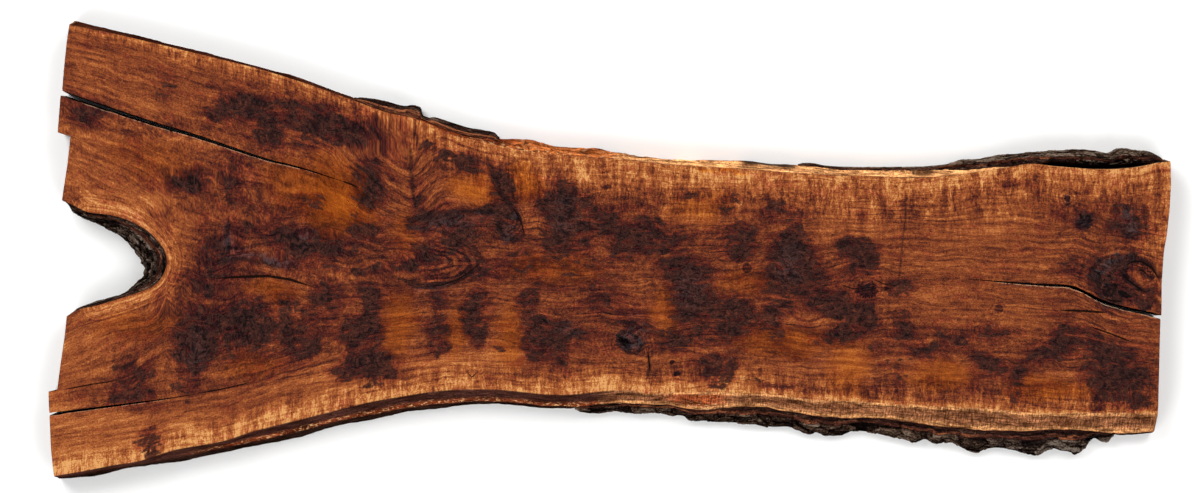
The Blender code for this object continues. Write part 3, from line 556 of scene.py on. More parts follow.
# Dark figure of the heartwood: middle x and y on the sheet, half length, half width, lean in degrees
# (anticlockwise seen from above) and strength
FIGURE = [
    (239, 107, 22, 13, 0, 1), (268, 124, 12, 10, 0, 0.8), (272, 142, 10, 9, 0, 0.7),
    (212, 113, 10, 9, 0, 0.7), (190, 182, 19, 11, 0, 0.9), (233, 180, 11, 18, 0, 0.7),
    (166, 90, 22, 14, 0, 0.35), (84, 119, 15, 11, 0, 0.7), (195, 340, 20, 30, 0, 1),
    (184, 388, 12, 14, 0, 0.8), (238, 330, 30, 24, 0, 1), (262, 326, 12, 18, 0, 0.9),
    (134, 378, 20, 18, 0, 0.75), (119, 395, 11, 10, 0, 0.6), (149, 441, 13, 14, 0, 0.6),
    (216, 259, 15, 18, 0, 0.7), (207, 284, 12, 12, 0, 0.6), (262, 103, 18, 10, 0, 0.8),
    (271, 127, 16, 12, 0, 0.9), (298, 113, 16, 12, 0, 1), (319, 120, 20, 14, 0, 1),
    (346, 129, 18, 12, -20, 1), (362, 135, 14, 12, -20, 0.9), (318, 140, 20, 10, 0, 0.5),
    (371, 184, 14, 22, 0, 0.9), (360, 205, 12, 12, 0, 0.5), (430, 149, 22, 7, -15, 0.9),
    (466, 161, 21, 8, -12, 0.9), (419, 207, 11, 8, 0, 0.7), (433, 222, 25, 9, 4, 1),
    (470, 212, 28, 6, 4, 0.8), (461, 240, 30, 8, 34, 0.9), (432, 246, 24, 9, 0, 0.6),
    (486, 236, 16, 5, 8, 0.4), (300, 237, 28, 13, 0, 0.9), (276, 238, 14, 9, 0, 0.7),
    (362, 231, 16, 10, 0, 0.7), (340, 246, 20, 8, 0, 0.6), (314, 200, 15, 8, 0, 0.5),
    (503, 203, 14, 34, 0, 0.95), (510, 230, 14, 14, 0, 0.7), (566, 221, 26, 36, 0, 1),
    (552, 205, 12, 14, 0, 0.8), (607, 222, 12, 14, 0, 0.8), (636, 237, 24, 19, 0, 0.95),
    (474, 267, 16, 9, 0, 0.6), (689, 197, 12, 7, 0, 0.7), (672, 240, 26, 8, 0, 0.6),
    (691, 292, 22, 34, 0, 1), (676, 268, 16, 12, 0, 0.7), (744, 240, 17, 16, 0, 0.95),
    (793, 232, 10, 20, 0, 0.9), (790, 255, 22, 22, 0, 1), (784, 276, 20, 12, 0, 0.9),
    (857, 251, 20, 13, -40, 0.95), (812, 276, 28, 8, 0, 0.8), (730, 205, 16, 11, 0, 0.5),
    (777, 208, 12, 14, 0, 0.5), (825, 294, 20, 9, 0, 0.7), (732, 316, 22, 20, 35, 0.95),
    (666, 341, 18, 12, 0, 0.85), (716, 362, 17, 12, 0, 0.95), (719, 377, 14, 9, 0, 0.8),
    (757, 382, 60, 4, -6, 0.5), (838, 307, 36, 13, -22, 1), (841, 337, 18, 9, 0, 0.95),
    (778, 308, 13, 16, 0, 0.8), (474, 318, 11, 26, 0, 0.9), (525, 302, 9, 17, 0, 0.8),
    (538, 329, 12, 12, 0, 0.8), (531, 349, 10, 9, 0, 0.7), (568, 334, 21, 14, 0, 0.95),
    (552, 352, 16, 8, 0, 0.7), (558, 372, 7, 9, 0, 0.7), (499, 347, 10, 9, 0, 0.5),
    (641, 326, 12, 9, 0, 0.7), (673, 343, 12, 9, 0, 0.6), (288, 312, 10, 24, 0, 0.85),
    (304, 342, 24, 12, 0, 0.95), (319, 309, 15, 17, 0, 0.7), (368, 288, 14, 9, 0, 0.8),
    (371, 307, 12, 14, 0, 0.9), (362, 329, 21, 13, 0, 0.95), (373, 364, 22, 19, 0, 1),
    (340, 372, 14, 8, 0, 0.7), (435, 293, 13, 8, 0, 0.7), (437, 310, 10, 10, 0, 0.8),
    (437, 337, 13, 16, 0, 0.95), (473, 340, 11, 10, 0, 0.7), (362, 268, 36, 6, 0, 0.8),
    (306, 252, 22, 8, 0, 0.6), (901, 288, 12, 11, 0, 0.7), (859, 315, 13, 8, 0, 0.7),
    (904, 326, 12, 15, 0, 0.75), (859, 268, 12, 10, 0, 0.7), (899, 372, 14, 18, 0, 0.6),
    (946, 344, 18, 10, 0, 0.7), (988, 362, 16, 12, 0, 0.8), (1015, 380, 9, 18, 0, 0.75),
    (1046, 352, 22, 12, 35, 0.8), (1068, 335, 18, 10, 20, 0.7), (1120, 372, 32, 27, 0, 0.95),
    (1100, 350, 20, 12, 0, 0.8), (1140, 392, 14, 16, 0, 0.8), (1091, 339, 12, 10, 0, 0.6),
    (1127, 223, 20, 19, 0, 0.8), (1085, 222, 10, 9, 0, 0.7), (1075, 268, 22, 10, 0, 0.5),
    (1108, 286, 15, 18, 0, 1), (1112, 265, 22, 8, 22, 0.9), (1130, 298, 20, 8, -25, 1),
    (1152, 292, 9, 9, 0, 0.7), (1000, 334, 26, 10, 0, 0.5), (920, 350, 12, 12, 0, 0.5),
    (880, 348, 12, 9, 0, 0.5), (770, 330, 18, 12, 0, 0.5), (700, 330, 14, 12, 0, 0.6),
    (600, 300, 22, 12, 0, 0.45), (585, 270, 26, 9, 0, 0.5), (420, 265, 30, 9, 0, 0.6),
    (520, 262, 20, 12, 0, 0.5), (545, 285, 18, 8, 0, 0.4), (250, 228, 16, 9, 0, 0.5),
    (240, 205, 14, 10, 0, 0.5), (330, 290, 16, 10, 0, 0.5),
]

# How many half sizes an oval's dark figure, glow or painted sheen reaches from its middle
OVAL_SPREAD = 1.35

# Lightness of the wood that no stretch covers
PLAIN_SHADE = 0.56

# Light and dark stretches of the face, broad ones first: middle, half length, half width, lean and the
# lightness that the wood has at its middle
SHADES = [
    (600, 262, 520, 92, 0, 0.42), (120, 62, 120, 34, -14, 0.52), (130, 165, 80, 34, -12, 0.55),
    (110, 425, 100, 44, 8, 0.64), (105, 332, 62, 30, 6, 0.53), (250, 190, 80, 50, 0, 0.38),
    (250, 290, 90, 66, 0, 0.32), (400, 258, 170, 34, 0, 0.29), (970, 245, 100, 58, 0, 0.51),
    (100, 110, 52, 12, -14, 0.34), (166, 122, 44, 10, -15, 0.4), (152, 102, 30, 9, -14, 0.62),
    (175, 88, 26, 14, -14, 0.52), (245, 108, 34, 22, 0, 0.24), (320, 118, 56, 22, -14, 0.24),
    (362, 136, 24, 14, -25, 0.26), (262, 138, 22, 12, 0, 0.42), (340, 165, 28, 16, 0, 0.5),
    (338, 208, 26, 18, 0, 0.62), (290, 172, 20, 26, 0, 0.5), (268, 160, 14, 16, 0, 0.38),
    (236, 168, 12, 30, 0, 0.3), (190, 182, 24, 14, 0, 0.33), (185, 150, 22, 14, 0, 0.5),
    (212, 214, 16, 20, 0, 0.34), (280, 226, 24, 14, 0, 0.27), (226, 256, 26, 26, 0, 0.17),
    (266, 262, 30, 12, 0, 0.24), (330, 250, 40, 22, 0, 0.26), (372, 246, 30, 18, 0, 0.26),
    (352, 285, 22, 8, 0, 0.4), (274, 291, 26, 9, 0, 0.46), (240, 326, 36, 26, 0, 0.17),
    (193, 350, 18, 34, 0, 0.18), (302, 332, 28, 22, 0, 0.28), (366, 330, 18, 22, 0, 0.27),
    (366, 362, 26, 16, 0, 0.22), (400, 322, 14, 34, 0, 0.54), (438, 332, 13, 26, 0, 0.28),
    (456, 330, 9, 26, 0, 0.5), (476, 318, 11, 28, 0, 0.28), (508, 334, 12, 30, 0, 0.54),
    (528, 300, 12, 22, 0, 0.28), (548, 340, 26, 24, 0, 0.27), (456, 232, 44, 24, 0, 0.25),
    (474, 190, 26, 14, 0, 0.62), (432, 178, 22, 12, -12, 0.36), (404, 232, 14, 22, 0, 0.46),
    (374, 184, 16, 24, 0, 0.27), (506, 214, 15, 36, 0, 0.24), (526, 180, 14, 18, 0, 0.6),
    (566, 215, 30, 36, 0, 0.25), (622, 228, 36, 20, 0, 0.26), (590, 180, 44, 8, 0, 0.6),
    (552, 270, 40, 14, 0, 0.44), (604, 300, 40, 22, 0, 0.29), (642, 336, 34, 22, 0, 0.24),
    (650, 270, 44, 18, 0, 0.33), (664, 310, 14, 20, 0, 0.46), (692, 290, 22, 34, 0, 0.26),
    (738, 318, 26, 20, 20, 0.26), (748, 282, 24, 14, 0, 0.44), (702, 208, 30, 16, 0, 0.58),
    (742, 206, 20, 14, 0, 0.48), (742, 240, 20, 16, 0, 0.26), (790, 250, 24, 34, 0, 0.23),
    (830, 294, 34, 16, -20, 0.24), (838, 216, 22, 22, 0, 0.58), (872, 222, 20, 20, 0, 0.56),
    (858, 258, 20, 14, -35, 0.3), (776, 342, 34, 14, 0, 0.46), (850, 368, 16, 24, 0, 0.64),
    (800, 368, 34, 10, 0, 0.58), (720, 364, 26, 16, 0, 0.28), (670, 374, 14, 6, 0, 0.4),
    (896, 328, 22, 34, 0, 0.32), (842, 336, 22, 9, 0, 0.27), (930, 232, 34, 24, 0, 0.52),
    (992, 222, 36, 22, 0, 0.6), (940, 296, 40, 16, 0, 0.52), (1026, 310, 34, 14, 0, 0.56),
    (962, 342, 40, 16, 0, 0.33), (1000, 364, 34, 14, 0, 0.3), (942, 376, 30, 14, 0, 0.58),
    (1052, 386, 40, 14, 0, 0.64), (1064, 342, 30, 18, 20, 0.3), (1120, 366, 36, 34, 0, 0.26),
    (1146, 334, 14, 16, 0, 0.46), (1124, 226, 26, 22, 0, 0.34), (1070, 202, 16, 14, 0, 0.36),
    (1086, 224, 12, 12, 0, 0.26), (1084, 260, 26, 16, 0, 0.38), (1130, 282, 34, 24, 0, 0.14),
    (1143, 277, 12, 6, -25, 0.3), (1100, 300, 26, 8, -15, 0.44), (134, 384, 22, 20, 0, 0.26),
    (104, 392, 30, 12, 6, 0.44), (158, 440, 14, 18, 0, 0.46), (216, 404, 34, 18, 6, 0.52),
    (252, 366, 30, 14, 0, 0.42), (84, 120, 14, 9, 0, 0.22), (672, 340, 12, 10, 0, 0.26),
    (186, 232, 12, 24, 0, 0.58), (300, 95, 50, 8, -16, 0.44), (475, 362, 58, 11, 0, 0.66),
    (335, 387, 40, 9, 3, 0.68), (690, 184, 58, 9, 0, 0.64), (640, 364, 26, 9, 0, 0.56),
    (150, 200, 26, 9, -12, 0.68), (80, 344, 24, 9, 0, 0.64), (1090, 184, 50, 9, 0, 0.64),
    (198, 208, 16, 12, 0, 0.34), (156, 364, 22, 11, 0, 0.38), (970, 388, 120, 8, 0, 0.38),
    (796, 184, 18, 8, 0, 0.38), (1002, 182, 24, 8, 0, 0.36), (394, 286, 22, 9, 0, 0.2),
    (130, 131, 60, 8, -14, 0.45), (115, 76, 24, 9, -14, 0.45), (1076, 288, 18, 8, 0, 0.36),
    (440, 262, 44, 16, 0, 0.22), (285, 80, 52, 10, -18, 0.58), (738, 200, 22, 10, 0, 0.6),
    (505, 354, 16, 12, 0, 0.68), (702, 352, 24, 9, 0, 0.42), (744, 381, 26, 8, 0, 0.7),
    (612, 380, 22, 8, 0, 0.72), (664, 316, 11, 18, 0, 0.54), (1146, 172, 14, 10, 0, 0.66),
    (1010, 176, 24, 8, 0, 0.4), (822, 182, 24, 6, 0, 0.5), (148, 404, 22, 12, 0, 0.46),
    (120, 350, 50, 9, 6, 0.5), (184, 198, 18, 9, 0, 0.4), (72, 190, 12, 14, 0, 0.46),
    (477, 226, 19, 9, 20, 0.46), (500, 244, 20, 8, 6, 0.36), (404, 243, 12, 16, 0, 0.44),
]

# Orange, almost glowing stretches where the grain stands on end, in the same way, with a strength
GLOW = [
    (338, 208, 34, 26, 0, 1), (330, 178, 34, 22, 0, 0.8), (474, 190, 26, 15, 0, 0.8),
    (524, 182, 16, 18, 0, 0.8), (286, 180, 20, 24, 0, 0.6), (400, 322, 14, 34, 0, 0.7),
    (456, 330, 10, 26, 0, 0.6), (510, 334, 14, 28, 0, 0.7), (275, 291, 26, 9, 0, 0.7),
    (552, 270, 44, 14, 0, 0.6), (780, 342, 44, 14, 0, 0.7), (850, 368, 18, 26, 0, 0.6),
    (942, 376, 30, 14, 0, 0.7), (704, 167, 9, 2.4, 7, 0.9), (724, 170, 11, 2.6, 7, 1),
    (742, 172, 8, 2, 4, 0.9), (1052, 390, 40, 12, 0, 0.7), (664, 312, 14, 20, 0, 0.6),
    (748, 282, 24, 12, 0, 0.5), (702, 208, 30, 14, 0, 0.5), (140, 324, 40, 12, 6, 0.5),
    (150, 160, 40, 20, -12, 0.4), (252, 366, 30, 12, 0, 0.5), (404, 232, 14, 20, 0, 0.5),
]

# Small dark ovals, such as knots' hearts: middle, half length, half width, lean, darkness, and how far
# they push the grain aside
KNOTS = [
    # The first oval, black in the big knot's deep pit, is partly the knot's dark heart and partly painted
    # shade in the pit
    (625, 342, 10.5, 3.4, -44, 1, 1), (630, 349, 7, 4.5, -35, 0.35, 0), (866, 288, 4.6, 2.8, 8, 1, 0.8),
    (873.5, 290.5, 4.8, 2.8, -62, 1, 0), (1067.6, 198.5, 3.6, 3.8, 0, 0.9, 0.9),
    (1083.5, 222.5, 8.5, 7, 35, 0.42, 0.8), (1110, 290, 8.5, 7.5, 0, 0.42, 0.6),
    (1124, 294, 7, 3, -30, 0.75, 0), (867, 290, 11, 7.5, 0, 0.72, 0), (630, 343, 13, 10, -35, 0.38, 0),
    (1099, 281, 3, 9, 10, 0.3, 0), (747, 268, 4.6, 5.2, 0, 0.5, 0.7), (999, 309, 4.6, 4.2, 0, 0.5, 0.7),
    (607, 187, 5, 2.4, 0, 0.7, 0.3), (672, 362, 2.4, 2.4, 0, 0.8, 0.2), (677, 374, 4, 2.6, 8, 0.8, 0.2),
    (83, 119, 5, 4, 0, 0.4, 0.5), (536, 206, 3, 2, 0, 0.5, 0.2),
]

# A distance that counts as away from everything, in sheet units or in an oval's sizes
FAR = 9.0

# Growth rings that close round a knot or a fork: middle, half length, half width, lean, spacing of the
# rings across, the sizes between which they show, strength, and 1 where only the right half shows
RING_SETS = [
    (1110, 290, 11, 10, 0, 4.6, 0.15, 1.2, 0.7, 0), (1142, 275, 17, 10, -20, 4.6, 0.45, 1.3, 0.6, 0),
    (628, 344, 14, 12, -35, 3.5, 0.8, 2.5, 0.55, 0), (868, 288, 11, 8, 0, 3.2, 0.55, 2.2, 0.6, 0),
    (1067.6, 198.5, 6, 6, 0, 4.2, 0.6, 2.2, 1, 0), (747, 268, 6, 6, 0, 3.2, 0.5, 1.8, 0.5, 0),
    (999, 309, 6, 6, 0, 3.2, 0.5, 2.2, 0.6, 0), (428, 262, 58, 24, -3, 4, 0.22, 1.08, 1.3, 1),
    (508, 222, 16, 18, -20, 4.2, 0.3, 1.3, 1, 1), (1126, 283, 38, 28, -8, 6.5, 0.85, 1.6, 0.7, 0),
]

# Painted sheen: bluish-grey highlights laid into the colour of the darkest figure and the knots,
# as ovals with a lean and a strength
PAINTED_SHEEN = [
    (256, 256, 20, 5, -14, 1), (280, 262, 16, 6, -4, 0.8), (305, 236, 9, 10, 0, 0.8),
    (228, 240, 5, 20, 6, 0.5), (1104, 267, 15, 4.5, 32, 1), (1124, 256.5, 13, 3.5, -4, 0.8),
    (1129, 222, 6, 14, 15, 0.9), (512, 226, 4, 18, -22, 0.6), (452, 222, 34, 8, 8, 0.45),
    (790, 262, 12, 22, 0, 0.45), (196, 352, 9, 22, 0, 0.3), (690, 290, 14, 20, 0, 0.35),
    (436, 288, 26, 4, 0, 0.5), (636, 330, 10, 14, 0, 0.4), (568, 330, 12, 8, 0, 0.4),
    (868, 286, 4, 3, 0, 0.3), (629, 340, 12, 9, -35, 0.9), (1083, 222, 9, 8, 35, 0.35),
    (566, 214, 14, 18, 0, 0.3),
]

# Pits in the knots: middle, half length and half width on the sheet, lean, and depth in metres
PITS = [
    (624.5, 341.5, 10.5, 4.6, -40, 0.011), (628, 344, 14, 11, -35, 0.0022), (1110, 290, 12, 10, 0, 0.0022),
    (868, 288, 11, 8, 0, 0.0014), (1067.6, 198.5, 5, 5, 0, 0.003), (1133, 283, 16, 3.2, -42, 0.0016),
]

# Soft dark veins, such as the borders of the figure round a fork: half width on the sheet and the
# points of the line
VEINS = [
    (0.5, [(906, 198), (905, 222), (902, 250), (898, 286)]),
    (2.2, [(488, 158), (492, 174), (499, 190), (511, 206), (519, 220), (524, 237)]),
    (1.6, [(523, 238), (512, 240), (502, 233), (497, 222)]),
    (2.3, [(398, 278), (414, 284), (430, 286.5), (447, 284.5), (462, 276), (474, 267.5), (483, 261)]),
    (2, [(484, 261), (474, 250), (464, 242.5), (452, 236), (438, 231)]),
    (1.7, [(412, 223), (426, 217), (444, 214), (460, 211.5), (476, 213), (493, 212)]),
    (2, [(229, 220), (226.5, 236), (229, 254)]), (1.5, [(218, 262), (240, 259), (262, 262), (286, 268)]),
    (1.5, [(1124, 266), (1132, 261.5), (1141, 260.5), (1151, 266), (1158, 275), (1161, 283)]),
    (2.2, [(1120, 271), (1129, 280), (1137, 287), (1147, 293)]),
    (2, [(1094, 263), (1092, 276), (1096, 289), (1104, 298)]),
    (1.6, [(1147, 294), (1154, 299), (1160, 306)]),
    (1, [(1137, 268), (1143, 270), (1150, 277), (1152, 284)]),
    (1.3, [(617, 335), (622, 331), (631, 332), (639, 339), (642, 347), (637, 354), (627, 352), (619, 345),
           (616, 337)]),
    (1, [(606, 326), (620, 321), (636, 324), (648, 336)]), (1, [(648, 352), (650, 366), (646, 380)]),
    (1.2, [(1062, 205), (1074, 205), (1078, 212)]), (1, [(880, 291), (890, 288), (900, 286)]),
    (1.2, [(410, 144), (411, 172), (415, 206)]), (1.2, [(358, 205), (372, 190), (380, 176)]),
]

# Hairline checks: half width on the sheet and the points of the line
CHECKS = [
    (0.45, [(199, 393.3), (225, 388.5), (250, 382.5)]), (0.4, [(62, 390), (90, 384.5), (119, 380.4)]),
    (0.75, [(1062, 310.1), (1085, 311), (1106, 312.6)]), (0.5, [(1090, 326.6), (1110, 333.5), (1132, 342)]),
    (0.55, [(342, 181), (352, 184.6), (358, 187.6)]),
    (0.85, [(216, 278.5), (237, 277), (267.8, 276), (290, 279.5), (312, 286.6)]),
    (0.4, [(424, 286.6), (441, 285.4), (457, 279.9), (470, 271.9), (481, 261.6)]),
    (0.4, [(514, 208.4), (522, 224.4), (525, 235.5)]),
    (0.6, [(1126, 265), (1133, 261.5), (1141, 261.5), (1152, 268), (1159, 279)]),
    (0.6, [(1122, 273), (1129, 281), (1136, 286), (1144, 292)]),
    (0.5, [(1104, 298), (1112, 301), (1124, 301)]), (0.45, [(1138, 270), (1143, 271), (1147, 274.5)]),
    (0.3, [(884, 290.5), (890, 287.5), (898, 284.5)]), (0.3, [(877, 280.5), (884, 284), (892, 285.5)]),
    (0.3, [(842, 285), (850, 288), (857, 289)]), (0.45, [(648, 352), (649, 362), (650, 370)]),
    (0.35, [(468, 373), (472, 377.5), (476, 373.5)]),
]


def stirred(x, y, seed, amount, coarse, fine, share, octaves):
    """Places pushed about by noise of two sizes, so that no oval round them looks drawn: x first, and
    then y from the new x."""
    place = [x, y]
    for axis in (0, 1):
        own = seed + 20 * axis
        push = layered(place[0] / coarse[0], place[1] / coarse[1], own)
        push = push + share * layered(place[0] / fine[0], place[1] / fine[1], own + 9, octaves)
        place[axis] = place[axis] + amount * push
    return place


def oval_way(x, y, oval):
    """How far each point is from an oval's middle, 1 on its border, and its place along and across."""
    middle_x, middle_y, half_length, half_width, lean = oval[:5]
    turn = np.radians(lean)
    along = (x - middle_x) * np.cos(turn) - (y - middle_y) * np.sin(turn)
    across = (x - middle_x) * np.sin(turn) + (y - middle_y) * np.cos(turn)
    return np.hypot(along / half_length, across / half_width), along, across


def blobs(x, y, patches, seed, wander):
    """How far inside the leaning ovals each point is: 0 from OVAL_SPREAD half sizes outwards, and
    towards their middles up to their strengths, which add up as veils do."""
    x, y = stirred(x, y, seed, wander, (34, 30), (9, 8), 0.35, 3)
    clear = np.ones(np.shape(x))
    for *oval, strength in patches:
        away = oval_way(x, y, oval)[0] / OVAL_SPREAD
        clear = clear * (1 - strength * np.clip(1 - away ** 2, 0, 1) ** 0.8)
    return 1 - clear


def shade_field(x, y, seed, wander):
    """Lightness of the wood from the light and dark stretches: each is laid over those before it and
    fades outwards."""
    x, y = stirred(x, y, seed, wander, (40, 32), (10, 8), 0.3, 2)
    level = np.full(np.shape(x), PLAIN_SHADE)
    for *oval, lightness in SHADES:
        cover = np.exp(-0.75 * oval_way(x, y, oval)[0] ** 2.8)
        level = level + (lightness - level) * cover
    return level


def knot_fields(x, y):
    """For each point: distance to the middle of a dark oval in its own sizes, that oval's darkness, and
    how far the knots push the grain aside. The oval is the nearest one, with the darker in front."""
    best, rank = np.full(np.shape(x), FAR), np.full(np.shape(x), FAR)
    heart, push = np.zeros(np.shape(x)), np.zeros(np.shape(x))
    for *oval, darkness, strength in KNOTS:
        away, along, across = oval_way(x, y, oval)
        its_rank = away - 1.5 * darkness * (away < 1.2)
        nearer = its_rank < rank
        rank = np.where(nearer, its_rank, rank)
        best = np.where(nearer, away, best)
        heart = np.where(nearer, darkness, heart)
        half_length, half_width = np.maximum(oval[2:4], 5)
        stretched = np.hypot(along / (2.6 * half_length), across / (2.0 * half_width))
        push = push - 0.85 * strength * across * np.exp(-stretched ** 2)
    return best, heart, push


def ring_fields(x, y):
    """Phase of the closed growth rings in radians and their strength, each from the ring set that is
    strongest at the point. The middles are pushed about so that no ring is a true oval."""
    phase, strength = np.zeros(np.shape(x)), np.zeros(np.shape(x))
    x = x + 1.6 * layered(x / 16, y / 14, 611, 2)
    y = y + 1.6 * layered(x / 16, y / 14, 621, 2)
    for *oval, spacing, inner, outer, force, right_only in RING_SETS:
        away, along, _ = oval_way(x, y, oval)
        shown = force * ease(away, inner * 0.8, inner * 1.2) * (1 - ease(away, outer * 0.75, outer))
        if right_only:
            shown = shown * ease(along, -4, 8)
        stronger = shown > strength
        phase = np.where(stronger, 2 * np.pi * away * oval[3] / spacing, phase)
        strength = np.where(stronger, shown, strength)
    return phase, strength


def line_fields(x, y, lines):
    """Signed distance to the nearest of a list of hairlines and its half width there, both on the
    sheet; the half width is negative away from it. A line thins out towards its two ends."""
    nearest, half = np.full(np.shape(x), FAR), np.full(np.shape(x), -1.0)
    side = np.ones(np.shape(x))
    for width, points in lines:
        points = np.array(points, float)
        run = run_of(points)
        for start, end, (a, b) in zip(run[:-1], run[1:], zip(points[:-1], points[1:])):
            along = (b - a) / np.linalg.norm(b - a)
            share = np.clip((x - a[0]) * along[0] + (y - a[1]) * along[1], 0, end - start)
            off_x, off_y = x - a[0] - share * along[0], y - a[1] - share * along[1]
            distance = np.hypot(off_x, off_y)
            nearer = distance < np.abs(nearest)
            place = (start + share) / run[-1]
            taper = 1.5 * width * np.minimum(1, 5 * np.minimum(place, 1 - place) + 0.15)
            nearest = np.where(nearer, distance, nearest)
            side = np.where(nearer, np.sign(along[0] * off_y - along[1] * off_x + 1e-9), side)
            half = np.where(nearer, np.where(distance < 5, taper, -1.0), half)
    return nearest * side, half


# Named colours of the live edges' skin, as red, green and blue, linear
DARK_SKIN = np.array([0.034, 0.0095, 0.0050])
PLUM_SKIN = np.array([0.040, 0.0150, 0.0110])
RED_SKIN = np.array([0.210, 0.0420, 0.0120])
ORANGE_SKIN = np.array([0.370, 0.1050, 0.0260])
GOLD_SKIN = np.array([0.600, 0.3000, 0.1150])
TAN_SKIN = np.array([0.235, 0.0980, 0.0420])
# Black painted on the wall towards the underside and on the bay's wall behind its bark, for the shade there
SHADE_BLACK_SKIN = np.array([0.010, 0.0055, 0.0040])
CRUST_SKIN = np.array([0.070, 0.0480, 0.0320])


def painted(colour, *coats):
    """A colour with further ones laid over it in turn, each given with its share at each point."""
    for coat, share in coats:
        colour = colour * (1 - share[:, None]) + coat * share[:, None]
    return colour


def skin_colour(kind, x, depth):
    """Colour of the wall at each point, how ticked it is and how strewn with pale flecks. The upper
    edge is dark at the left, red and then orange inner bark in the middle, and a pale gold bevel
    further right. The lower edge is plum brown with a rusty foot, red where the bark starts, and tan
    between two gold lines under the long bark. Both are painted black towards the underside for the
    shade where the wall turns under, and the bay's wall behind its bark is painted black for the
    shade there."""
    low = depth / THICKNESS
    gold = ease(x, 600, 640)
    crust = between(x, 738, 748, 792, 802) * ease(low, 0.55, 0.72)
    upper = painted(
        DARK_SKIN,
        (RED_SKIN, ease(x, 375, 425)),
        (ORANGE_SKIN, ease(x, 495, 530)),
        (GOLD_SKIN, gold),
        (DARK_SKIN, 0.8 * between(x, 912, 920, 932, 940) * ease(low, 0.1, 0.3)),
        (DARK_SKIN, 0.75 * (1 - ease(low, 0.015, 0.05)) * between(x, 560, 640, 960, 1000)),
        (CRUST_SKIN, np.maximum(crust, ease(x, 1030, 1060))),
        (GOLD_SKIN * 0.8, (1 - ease(low, 0.02, 0.06)) * ease(x, 1020, 1040)),
        # Painted shade: black towards the underside
        (SHADE_BLACK_SKIN, ease(low, 0.84, 0.97) * (1 - 0.6 * gold)),
    )
    tan = ease(x, 590, 625)
    red = between(x, 650, 690, 712, 735)
    gold_lines = (1 - ease(low, 0.03, 0.09)) * ease(x, 600, 700) + between(low, 0.40, 0.46, 0.54, 0.58) * tan
    rusty = between(low, 0.36, 0.48, 0.55, 0.62) * between(x, 170, 230, 590, 620)
    lower = painted(
        PLUM_SKIN,
        (TAN_SKIN, tan),
        (PLUM_SKIN * 1.6, 0.20 * tan * (1 - ease(x, 670, 700))),
        (RED_SKIN * 1.4, 0.75 * red),
        (GOLD_SKIN, 0.85 * np.clip(gold_lines, 0, 1)),
        (RED_SKIN, 0.75 * rusty),
        # Painted shade: black towards the underside
        (SHADE_BLACK_SKIN, ease(low, 0.56, 0.66)),
    )
    colour = np.where((kind == UPPER_EDGE)[:, None], upper, lower)
    # Painted shade: the bay's wall behind its bark
    colour = np.where((kind == BAY)[:, None], SHADE_BLACK_SKIN * 1.6, colour)
    ticks = (kind == LOWER_EDGE) * tan * (1 - ease(low, 0.50, 0.60))
    upper_flecks = between(x, 430, 500, 630, 650) * (1 - 0.8 * ease(low, 0.15, 0.40))
    lower_flecks = np.maximum(rusty, red * between(low, 0.25, 0.45, 0.55, 0.62))
    flecks = (kind == UPPER_EDGE) * upper_flecks + (kind == LOWER_EDGE) * lower_flecks
    return colour, ticks, flecks


def set_attribute(mesh, name, vectors):
    """Gives each point of a mesh a vector."""
    attribute = mesh.attributes.new(name, "FLOAT_VECTOR", "POINT")
    attribute.data.foreach_set("vector", np.ascontiguousarray(vectors, np.float32).ravel())


def surface(name, points, faces, material, attributes):
    """An object of its own from arrays of points and faces."""
    mesh = bpy.data.meshes.new(name)
    mesh.from_pydata(points.tolist(), [], [face for group in faces for face in group.tolist()])
    for key, values in attributes.items():
        set_attribute(mesh, key, values)
    mesh.shade_smooth()
    mesh.set_sharp_from_angle(angle=0.9)
    mesh.materials.append(material)
    piece = bpy.data.objects.new(name, mesh)
    bpy.context.scene.collection.objects.link(piece)
    return piece


def wall_rings(lines, kind):
    """The wall's rings by depth below the border: each is a straight blend of the two known lines next
    to it, and stands out by the waves of the live edges and by the round under the top edge."""
    normal, run, x = outward(lines[0]), run_of(lines[0]), lines[0][:, 0]
    live = np.isin(kind, (LOWER_EDGE, UPPER_EDGE, BAY))
    rough = np.full(len(x), EVEN_WALL)
    for edge, start, end, amount in ROUGH_WALLS:
        rough = np.where((kind == edge) & (x > start) & (x < end), amount, rough)
    left_end = np.where(kind == LOWER_EDGE, LOWER_LEFT_END, UPPER_LEFT_END)
    fade = np.minimum(1, np.abs(x - left_end) / END_FADE) * np.minimum(1, np.abs(RIGHT_END - x) / END_FADE)
    rings = []
    for depth in RINGS[1:]:
        k = int(np.clip(np.searchsorted(LEVELS, depth) - 1, 0, 3))
        share = (depth - LEVELS[k]) / (LEVELS[k + 1] - LEVELS[k])
        line = lines[k] * (1 - share) + lines[k + 1] * share
        quiet = np.minimum(1, np.minimum(depth, THICKNESS - depth) / FACE_FADE)
        bumps = sum(
            height * layered(run / length, np.full_like(run, depth / down), seed, layers)
            for height, length, down, seed, layers in WALL_WAVES
        )
        rounded = EDGE_ROUND / UNIT * np.sin(0.5 * np.pi * min(1, depth / ROUND_DEPTH))
        out = rough * live * quiet * fade * (bumps - 0.8) + rounded * (live | (kind == SAWN_END))
        rings.append(line + normal * out[:, None])
    return rings


